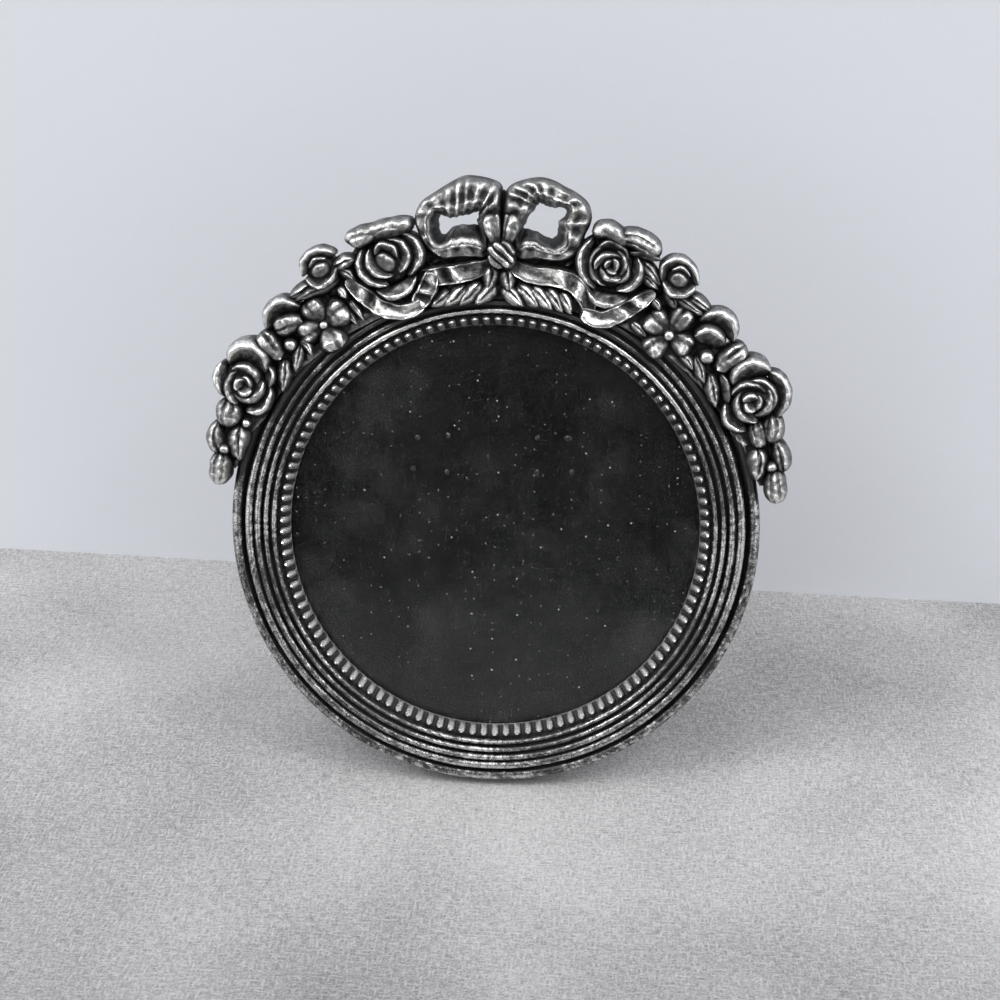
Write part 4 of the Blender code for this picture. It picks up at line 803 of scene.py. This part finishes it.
def makeGarland(parts):
    shells = [makeDome(*dome) for dome in parts["domes"]] + makeForms(parts["forms"])
    shells += [makeLeaf(*leaf) for leaf in parts["leaves"]] + makeBlossom(*parts["blossom"])
    shells += [makeDome(*berry) for berry in parts["berries"]]
    return shells + [petal for rose in parts["whorls"] for petal in makeWhorl(*rose)]


# The bow, mm. Each station round a loop has a point on the edge of its hole, on the inner rim and on the outer edge,
# and the rim's rise. Across, the surface climbs the hollow wall from the hole to the rim, crosses the crinkled face
# and rounds over to the outer wall. A fold is a ridge over the band: its station, half width in stations, height, and
# how many stations it moves along on its way out. Between folds the face sinks, and at folds the rim juts inwards, and
# a share of that the hole's edge too. The face has a lip (height, place on the way out, width) and sags beyond it
bow = dict(
    leftLoop=((-4.3, 55.6, -2.6, 51.9, -2.4, 50, 1.7), (-6, 55.6, -5, 52.6, -4.6, 49.9, 2),
              (-7.8, 55.4, -7.6, 52.4, -7.4, 49.8, 2.1), (-9.2, 54.9, -9.6, 51.9, -10, 49.5, 2.1),
              (-10.2, 53.8, -11.2, 51.5, -12, 50.4, 2), (-11.2, 54, -12.9, 53, -13.8, 52.2, 1.9),
              (-11.5, 55.2, -13.3, 54.8, -15.2, 54.6, 1.9), (-11.5, 56.5, -12.9, 57, -15.7, 57, 1.9),
              (-11.2, 57.2, -12, 58.5, -14.6, 59.6, 2), (-10.2, 56.9, -10.4, 58.6, -12.2, 61.4, 2.2),
              (-9.2, 56.7, -9, 58, -9.6, 63.1, 2.4), (-8, 57, -7.4, 58.3, -7.2, 64.3, 2.5),
              (-6.6, 57.3, -5.6, 59.2, -5, 64.4, 2.5), (-5.2, 57.7, -3.9, 59.4, -2.2, 63.9, 2.4),
              (-4.3, 58, -3, 59, -0.2, 62.8, 2.2), (-4.3, 57.2, -3.3, 57.6, 0.15, 60, 2),
              (-4.5, 56.5, -3.3, 56.2, 0.1, 56.5, 1.7), (-4.5, 56, -2.9, 54, -0.9, 53, 1.6)),
    rightLoop=((4.2, 55.2, 3.3, 52, 3, 49.9, 1.7), (5.4, 54.9, 5, 52.7, 5, 49.8, 2), (7, 54.3, 7, 52.3, 7.2, 49.9, 2.1),
               (8.6, 53.5, 9, 51.6, 9.6, 49.6, 2.1), (9.6, 53.6, 11, 51.6, 12.2, 50, 2),
               (10.1, 54.4, 12, 53, 14.6, 51.6, 1.9), (10.3, 55.4, 12.2, 54.8, 15.2, 54.2, 1.9),
               (10.4, 56.6, 11.9, 56.6, 16.1, 56.2, 1.9), (11.4, 57.6, 12.4, 57.8, 16.3, 57.8, 2),
               (11.7, 58.4, 12.6, 59, 15.6, 60, 2), (10.8, 59.2, 11.4, 60.2, 13.6, 61.7, 2.1),
               (9.6, 59, 9.8, 60.4, 11.4, 62.8, 2.2), (8.6, 59.2, 8.2, 61.2, 9.2, 63.9, 2.3),
               (7.6, 59.5, 6.6, 61.6, 6.6, 64.4, 2.4), (6.7, 59.8, 5.4, 60.6, 3.2, 63.7, 2.4),
               (6, 58.8, 4.9, 59.2, 1, 62.4, 2.3), (5, 57.5, 4, 57.4, 0.4, 59.6, 2),
               (4.4, 56.2, 3.4, 55.6, 0.5, 55.5, 1.7), (4, 55.6, 3.2, 53.6, 1.2, 53.2, 1.6)),
    holeTop=5.9, outerTop=8, back=4.9, bevel=(0.3, 0, 0, 0.3), inset=0.06, steps=12, wallRows=8, faceRows=20,
    faceFrom=0.04, scallop=(0.45, 0.6, 0.05), lip=(0.35, 0.16, 0.1), sag=0.1, sink=0.3,
    leftFolds=((0.5, 0.3, 0.25, 0.1), (1.6, 0.35, 0.3, -0.2), (2.7, 0.35, 0.35, 0.1), (3.9, 0.4, 0.2, 0.2),
               (5.2, 0.35, 0.3, 0), (6.3, 0.4, 0.35, 0.3), (7.4, 0.35, 0.25, -0.2), (8.7, 0.4, 0.35, 0.3),
               (9.8, 0.35, 0.45, 0.3), (10.75, 0.27, 0.6, 0), (11.55, 0.22, 0.3, -0.1), (12.5, 0.32, 0.6, 0.2),
               (13.55, 0.3, 0.5, 0), (14.7, 0.36, 0.45, 0.3), (16.2, 0.5, 0.35, 0.3)),
    rightFolds=((0.6, 0.35, 0.25, 0.1), (1.8, 0.35, 0.35, 0.2), (2.9, 0.35, 0.4, -0.2), (4.1, 0.35, 0.3, 0.1),
                (5.6, 0.45, 0.4, -0.3), (7.1, 0.36, 0.45, 0.3), (8.7, 0.5, 0.3, 0.2), (9.8, 0.36, 0.4, -0.4),
                (11, 0.5, 0.3, 0.2), (12.3, 0.4, 0.4, 0.5), (13.2, 0.24, 0.5, 0.9), (14, 0.22, 0.5, 1),
                (14.8, 0.22, 0.5, 1), (15.7, 0.3, 0.4, 0.8), (17.2, 0.4, 0.3, 0)),
    forms=(
        ("ribbon", 1, (-0.6, 49.4, -4.6, 47.7, -9.8, 46.6, -14.9, 46, (1, 1.75, 2, 1.8), 2.1)),
        ("turn", 1, (-12.2, 47.4, -12.9, 44.4, -14.9, 41, (1.4, 1.9, 1.7), 2.5)),
        ("ribbon", 1, (-13.6, 41.4, -17.2, 39.8, -21.2, 40.3, -24.6, 42.6, -28, 45.2, (1.4, 1.6, 1.7, 1.7, 1), 2.1),
         (1.2, 49.4, 5.3, 47.3, 10, 46.8, 13.4, 45.8, 15.7, 43.2, 16.7, 40.6, (1, 1.75, 1.95, 1.95, 1.85, 1.6), 2.1),
         (14.9, 40.6, 18.6, 39.4, 22, 40.7, 25.2, 42.6, 28.1, 44.6, (1.6, 1.8, 1.8, 1.6, 1.1), 2.1)),
        ("dome", 1, (0.1, 51, 0.2, 56.5, 0.1, 62.2, 1.3, -0.9)),
        ("cup", 1, (-0.7, 52, -1.5, 54.8, -2.2, 58.4, (0.55, 1, 1.45), (2.8, 3, 2.5))),
        ("dome", 1, (-0.1, 52.4, -0.4, 55, -0.7, 58, (0.35, 0.5, 0.5), (2.4, 2.6, 2.2))),
        ("cup", 1, (1.2, 52.2, 2, 54.8, 2.7, 58.2, (0.55, 0.95, 1.3), (2.8, 3, 2.5))),
        ("dome", 1, (0.6, 52.6, 0.9, 55, 1.2, 58, (0.35, 0.45, 0.45), (2.3, 2.5, 2.1)),
         (-2.1, 52.4, 0.2, 50.5, 2.5, 48.3, 2.15, 3.5), (-1.9, 50.6, -1.05, 49.2, 0.5, 48.3, 0.6, 3.5),
         (-2.1, 52, -0.35, 50.2, 1.7, 48.5, 0.6, 4.1), (-1.2, 52.7, 0.7, 51.2, 2.5, 49.3, 0.6, 4.1),
         (0.1, 52.8, 1.6, 52.1, 2.5, 50.6, 0.58, 3.4))),
    leaves=((-1.7, 46.4, 4.8, 2.9, -100, 2.3), (1.4, 46.1, 4.8, 2.9, -80, 2.3), (-2.6, 43.5, 5.6, 2.7, 225, 1.9),
            (-5.3, 43.4, 6, 2.7, 228, 1.9), (-8, 42.9, 5.8, 2.7, 224, 1.9), (-10.6, 42.3, 5, 2.5, 220, 1.7),
            (2.5, 43.2, 5.6, 2.7, -42, 1.9), (5.3, 43.3, 6, 2.7, -46, 1.9), (7.8, 42.9, 5.8, 2.6, -48, 1.9),
            (10.1, 42.6, 5.4, 2.4, -55, 1.7), (12.2, 42.2, 4.6, 2.3, -62, 1.6)))


# Folds of a loop at a share of the way out: the face sinks but for a ridge at each fold, the nearest way round the loop
def foldsAt(ridges, count, station, out):
    folds = -bow["sink"] + 0 * station * out
    for place, half, height, slant in ridges:
        apart = (station - place - slant * (out - 0.5) + count / 2) % count - count / 2
        folds = folds + ridge(apart, height + bow["sink"], 0, half)
    return folds


def makeLoop(stations, ridges):
    known, count = np.array(stations, float), len(stations)
    known = np.vstack([known[-2:], known, known[:3]])
    line = throughRows(known, np.arange(bow["steps"])[None, :, None] / bow["steps"])[1:1 + count].reshape(-1, 7)
    station = np.arange(len(line))[:, None] / bow["steps"]
    hole, rim, outer = (line[:, None, k:k + 2] for k in (0, 2, 4))
    crest = carving["level"] + line[:, 6:7]
    rimShift, holeShift, least = bow["scallop"]
    jut = rimShift * (foldsAt(ridges, count, station, np.zeros((1, 1)))[..., None] + least)
    inward = (hole - outer) / np.linalg.norm(hole - outer, axis=-1, keepdims=True)
    hole, rim, outer = (settle(part, crest) for part in (hole + inward * holeShift * jut, rim + inward * jut, outer))
    climb = np.linspace(0, 1, bow["wallRows"])[None, :]                        # from the hole up to the rim
    cross = np.linspace(bow["faceFrom"], 1, bow["faceRows"])[None, :]          # from the rim to the outer edge
    wall, band = between(hole, rim, climb[..., None]), between(rim, outer, cross[..., None])
    under = [outer, between(outer, hole, bow["inset"]), between(hole, outer, bow["inset"]), hole]
    flat = np.concatenate([wall, band, *under], 1)
    wallHeight = between(bow["holeTop"], crest, 1 - (1 - climb) ** 2)
    folds = foldsAt(ridges, count, station, cross) * np.sin(math.pi * (0.1 + 0.85 * cross)) ** 0.7
    face = crest + ridge(cross, *bow["lip"]) - bow["sag"] * np.sin(math.pi * cross) + folds
    face = between(bow["outerTop"], face, (1 - cross ** 7) ** 0.5)
    face = face + carving["uneven"] * uneven(band) * (1 - cross ** 4)
    below = np.tile(bow["back"] + np.array(bow["bevel"]), (len(line), 1))
    return ringShell(np.concatenate([flat, np.hstack([wallHeight, face, below])[..., None]], -1))


def makeBow():
    loops = [makeLoop(bow[side + "Loop"], bow[side + "Folds"]) for side in ("left", "right")]
    return loops + makeForms(bow["forms"]) + [makeLeaf(*leaf) for leaf in bow["leaves"]]


castings = dict(
    reeded_ring=([makeRing()], ringPewter, ("ring_moulding",)),
    beaded_edge=([makeBeads()], beadPewter, ("bead_ring",)),
    crest_ground=([makeGround()], crestPewter, ("rose_garland",)),
    garland_left=(makeGarland(leftGarland), crestPewter, ("rose_garland",)),
    garland_right=(makeGarland(rightGarland), crestPewter, ("rose_garland",)),
    ribbon_bow=(makeBow(), crestPewter, ("rose_garland",)),
)
print("castings are shaped")

# Heights: every quad's corners, edge middles and centre are dropped on a grid that keeps the highest. A point's
# relief looks as far as each of the reaches in some ways, the first turned a share of the step between them, and
# slopes count up to the steepest
heightMap = dict(low=(-58.0, -54.0), cell=0.16, size=(725, 770), outside=4.0, reaches=(0.4, 0.8, 1.4, 2.2), ways=8,
                 turned=0.3, steepest=1.2, upwards=1.6)


def sampleShell(points, quads, triangles):
    corner = points[quads]
    middles = (corner + np.roll(corner, -1, 1)) / 2
    return np.vstack([points, middles.reshape(-1, 3), corner.mean(1)])


def cellsOf(places):
    return tuple(((places - heightMap["low"]) / heightMap["cell"]).astype(int).T)


def makeHeightMap():
    heights = np.full(heightMap["size"], heightMap["outside"])
    for shells, _, _ in castings.values():
        for shell in shells:
            samples = sampleShell(*shell)
            np.maximum.at(heights, cellsOf(samples[:, :2]), samples[:, 2])
    return heights


# A point's relief: over the places round it, the mean slope down to them less 1.6 times the mean slope up to them
def reliefOf(points, heights):
    rises, steepest = np.zeros(len(points)), heightMap["steepest"]
    for reach in heightMap["reaches"]:
        for way in range(heightMap["ways"]):
            turn = math.tau * (way + heightMap["turned"]) / heightMap["ways"]
            spot = points[:, :2] + [reach * math.cos(turn), reach * math.sin(turn)]
            slope = (points[:, 2] - heights[cellsOf(spot)]) / reach
            rises += np.clip(slope, 0, steepest) - heightMap["upwards"] * np.clip(-slope, 0, steepest)
    return rises / (len(heightMap["reaches"]) * heightMap["ways"])


# Wear beyond the relief, and a painted highlight. The ground, and the flange from a radius on, are duller. Under the
# crest the lip, the beads and the bow's leaves get a painted highlight all the same, shown as rubbed metal where light
# from above falls: the share of up in their direction from the middle, and each piece's outer radius, lowest height
# and gain. What faces backwards lies below a height and is plain or rubbed metal
wearAndHighlight = dict(ground=0.05, flange=0.24, flangeFrom=47.3, underCrest=(0.45, 0.75),
            paintedHighlights=dict(reeded_ring=(42.1, 7.3, 0.4), beaded_edge=(42.1, 6.5, 0.22), ribbon_bow=(46.6, 9.3, 0.24)),
            backs=dict(reeded_ring=(3.0, 0.7), crest_ground=(5.0, 0.12), others=(5.1, 0.12)))


def wornAndHighlitRelief(name, points, heights):
    rises = reliefOf(points, heights)
    far = np.hypot(points[:, 0], points[:, 1])
    if name == "crest_ground":
        rises -= wearAndHighlight["ground"]
    if name == "reeded_ring":
        rises -= wearAndHighlight["flange"] * (far > wearAndHighlight["flangeFrom"])
    # Painted highlight: relief raised towards the top of the ring, so these pieces show bright rubbed metal there
    if name in wearAndHighlight["paintedHighlights"]:
        within, above, highlightGain = wearAndHighlight["paintedHighlights"][name]
        highlightShare = np.clip((points[:, 1] / far - wearAndHighlight["underCrest"][0]) / np.ptp(wearAndHighlight["underCrest"]), 0, 1)
        rises += highlightGain * highlightShare * (far < within) * (points[:, 2] > above)
    below, back = wearAndHighlight["backs"].get(name, wearAndHighlight["backs"]["others"])
    return np.where(points[:, 2] < below, back, rises)


# An object from points in metres and faces
def addMesh(name, points, faces, material):
    mesh = bpy.data.meshes.new(name)
    mesh.from_pydata(points, [], faces)
    mesh.materials.append(material)
    piece = bpy.data.objects.new(name, mesh)
    scene.collection.objects.link(piece)
    return piece


# One object from its shells, riding on a body of the frame
def makePiece(name, shells, material, body, replaced=(), relief=None, sharp=None):
    points, faces, offset = [], [], 0
    for shellPoints, quads, triangles in shells:
        points.append(shellPoints)
        faces += (quads + offset).tolist() + (triangles + offset).tolist()
        offset += len(shellPoints)
    piece = addMesh(name, fromFace(np.vstack(points)).tolist(), faces, material)
    mesh = piece.data
    mesh.polygons.foreach_set("use_smooth", np.ones(len(faces), bool))
    if sharp:
        mesh.set_sharp_from_angle(angle=math.radians(sharp))
    if relief is not None:
        mesh.attributes.new("relief", 'FLOAT', 'POINT').data.foreach_set("value", relief.astype(np.float32))
    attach(piece, body)
    if replaced:
        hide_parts(*replaced)
    print(name, offset, "points", len(faces), "faces")


castingSharp, discSharp = 40, 30            # degrees between faces over which an edge is sharp
heights = makeHeightMap()
for name, (shells, material, replaced) in castings.items():
    rises = wornAndHighlitRelief(name, np.vstack([points for points, _, _ in shells]), heights)
    makePiece(name, shells, material, "frame", replaced, rises, castingSharp)

# The ends of the hinges' prongs show as small bumps on the liner, mm: how far each is drawn out sideways, its rings as
# shares of its radius, and how far the last ring is sunk
prongs = dict(spots=((-14.8, 16.5), (-9.1, 17.1), (-15.6, 10.6), (-9.2, 10.1), (7.6, 17.2), (13.3, 17.3), (7.7, 10.6),
                     (14.2, 10.9)), half=0.6, level=2.78, rise=0.27, drawn=0.25, columns=12,
              rings=(0.15, 0.45, 0.7, 0.9, 1.0, 1.0), sunk=0.1)


# Each is a dome of rings: rise times cos of the share of its radius
def makeProngs():
    angle = np.linspace(0, math.tau, prongs["columns"], endpoint=False)[None]
    share = np.array(prongs["rings"])[:, None]
    shells = []
    for x, u in prongs["spots"]:
        right = x + prongs["half"] * (1 + prongs["drawn"] * math.sin(3 * x)) * share * np.cos(angle)
        up = u + prongs["half"] * share * np.sin(angle)
        lift = prongs["level"] + prongs["rise"] * np.cos(share * math.pi / 2) + 0 * angle
        lift[-1] -= prongs["sunk"]
        shells.append(tubeShell(np.stack([right, up, lift], -1)))
    return shells


makePiece("prong_marks", makeProngs(), makePressedCard(), "frame")

# The dust lies on a thin disc just off the glass: radius, its two heights, mm, and columns
dustDisc = dict(radius=41.0, heights=(4.62, 4.64), columns=96)


def makeDustDisc():
    angle = np.linspace(0, math.tau, dustDisc["columns"], endpoint=False)[None]
    height = np.array(dustDisc["heights"])[:, None] + 0 * angle
    return tubeShell(around(dustDisc["radius"], angle + 0 * height, height))


makePiece("glass_dust", [makeDustDisc()], dustMaterial, "frame", sharp=discSharp)

# CAD nodes that keep their shape get their finish, by the start of their name
finishes = dict(glass=glassMaterial, photo_liner=linerMaterial, backboard=velvetMaterial, strut_board=velvetMaterial,
                hinge=steelMaterial, turn_button=brassMaterial, button_rivet=brassMaterial)
for name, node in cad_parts.items():
    for start, material in finishes.items():
        if name.startswith(start):
            node.data.materials.clear()
            node.data.materials.append(material)
print("the frame's own pieces are finished")

# The table's cloth and the wall behind it, in metres: the wall's foot stands behind the origin, turned some degrees.
# The cloth is dark to pale shares of its colour over two values of its shade, with weights of its grain and of its
# patches, which fade out between two distances. A painted shade darkens it towards the front between two distances,
# down to a share
stage = dict(wallBehind=0.0645, wallTurn=-2.21, half=3.0, tall=3.0, cloth=(0.41, 0.405, 0.405), dark=0.42, pale=1.6,
             shades=(0.155, 0.315), grain=0.16, patches=0.13, patchesOver=(0.4, 0.12), falls=(0.015, 0.12, 0.74),
             threads=dict(Across=1900.0, Along=450.0), wall=colour(0.745, 0.76, 0.80), depth=0.0002)


def makeCloth():
    material, tree, shader = startMaterial("pale cloth", {"Roughness": 0.95, "Specular IOR Level": 0.1})
    place = objectPlace(tree)
    weave = useGroup(tree, weaveGroup, stage["threads"])["Height"]
    mottle = noise(tree, place, 2100.0, 3.0, 0.75)
    away = addNode(tree, 'VectorMath', {0: place}, operation='LENGTH').outputs["Value"]
    patch = maths(tree, 'SUBTRACT', noise(tree, place, 13.0, 4.0), 0.5)
    patch = maths(tree, 'ADD', maths(tree, 'MULTIPLY', patch, smoothStep(tree, away, *stage["patchesOver"])), 0.5)
    grain = maths(tree, 'MULTIPLY', maths(tree, 'ADD', mottle, weave), stage["grain"])
    shade = maths(tree, 'ADD', grain, maths(tree, 'MULTIPLY', patch, stage["patches"]))
    dark, pale = (colour(*(share * value for value in stage["cloth"])) for share in (stage["dark"], stage["pale"]))
    grained = shadeBetween(tree, shade, *stage["shades"], dark, pale)
    near, far, least = stage["falls"]
    front = addNode(tree, 'SeparateXYZ', {0: place}).outputs["Y"]
    # Painted shade: the cloth's colour darkens towards the front
    paintedShade = smoothStep(tree, front, -far, -near, least, 1.0)
    wire(tree, shader, {"Base Color": mixColours(tree, 1.0, grained, paintedShade, 'MULTIPLY'),
                        "Normal": bump(tree, maths(tree, 'ADD', weave, mottle), stage["depth"], 0.6)})
    return material


# The wall is clear from behind
def makePlaster():
    material, tree, shader = startMaterial("pale wall", {"Roughness": 0.9, "Specular IOR Level": 0.1,
                                                         "Base Color": stage["wall"]})
    rough = noise(tree, objectPlace(tree), 350.0, 4.0, 0.6)
    wire(tree, shader, dict(Normal=bump(tree, rough, stage["depth"], 0.3)))
    behind = addNode(tree, 'NewGeometry').outputs["Backfacing"]
    clear = addNode(tree, 'BsdfTransparent').outputs[0]
    solid = tree.nodes["Principled BSDF"].outputs[0]
    shown = addNode(tree, 'MixShader', {0: behind, 1: solid, 2: clear}).outputs[0]
    wire(tree, tree.nodes["Material Output"].inputs, dict(Surface=shown))
    return material


def makeStage():
    half, tall = stage["half"], np.array([0, 0, stage["tall"]])
    along = np.append(stepTo(stage["wallTurn"]), 0)
    toward = np.array([along[1], -along[0], 0])
    foot = np.array([0, stage["wallBehind"], 0])
    left, right = foot - along * half, foot + along * half
    floor = [left + toward * 2 * half, right + toward * 2 * half, right - toward * half, left - toward * half]
    wall = [left, right, right + tall, left + tall]
    for name, corners, material in (("table_cloth", floor, makeCloth()), ("wall", wall, makePlaster())):
        piece = addMesh(name, [tuple(corner) for corner in corners], [(0, 1, 2, 3)], material)


makeStage()

# Soft lamps: place and aim in metres, side of the square and power. The sky is pale but for straight in front, where
# it darkens between the cosines far and near of the angle off that way
lamps = dict(key=((-0.60, -0.45, 0.95), (0, 0, 0.05), 0.45, 4.0), side=((0.55, -0.40, 0.9), (0, 0, 0.05), 0.4, 2.8))
sky = dict(dark=colour(0.05, 0.05, 0.052), pale=colour(0.88, 0.89, 0.91), strength=1.43, front=(0.05, -1.0, 0.06),
           near=0.965, far=0.80)


def makeLights():
    for name, (spot, aim, side, power) in lamps.items():
        lamp = bpy.data.objects.new(name, bpy.data.lights.new(name, 'AREA'))
        lamp.data.size = side
        lamp.data.energy = power
        lamp.location = spot
        toward = np.array(aim) - np.array(spot)
        flat = math.hypot(toward[0], toward[1])
        lamp.rotation_euler = (math.atan2(flat, -toward[2]), 0, math.atan2(toward[1], toward[0]) - math.pi / 2)
        scene.collection.objects.link(lamp)
    world = bpy.data.worlds.new("soft sky")
    scene.world = world
    world.use_nodes = True
    tree = world.node_tree
    place = addNode(tree, 'TexCoord').outputs["Generated"]
    ahead = tuple(np.array(sky["front"]) / np.linalg.norm(sky["front"]))
    facing = addNode(tree, 'VectorMath', {0: place, 1: ahead}, operation='DOT_PRODUCT').outputs["Value"]
    full = shadeBetween(tree, facing, sky["far"], sky["near"], sky["pale"], sky["dark"])
    background = tree.nodes["Background"]
    wire(tree, background.inputs, dict(Color=full))
    background.inputs["Strength"].default_value = sky["strength"]


makeLights()
print("stage is lit")
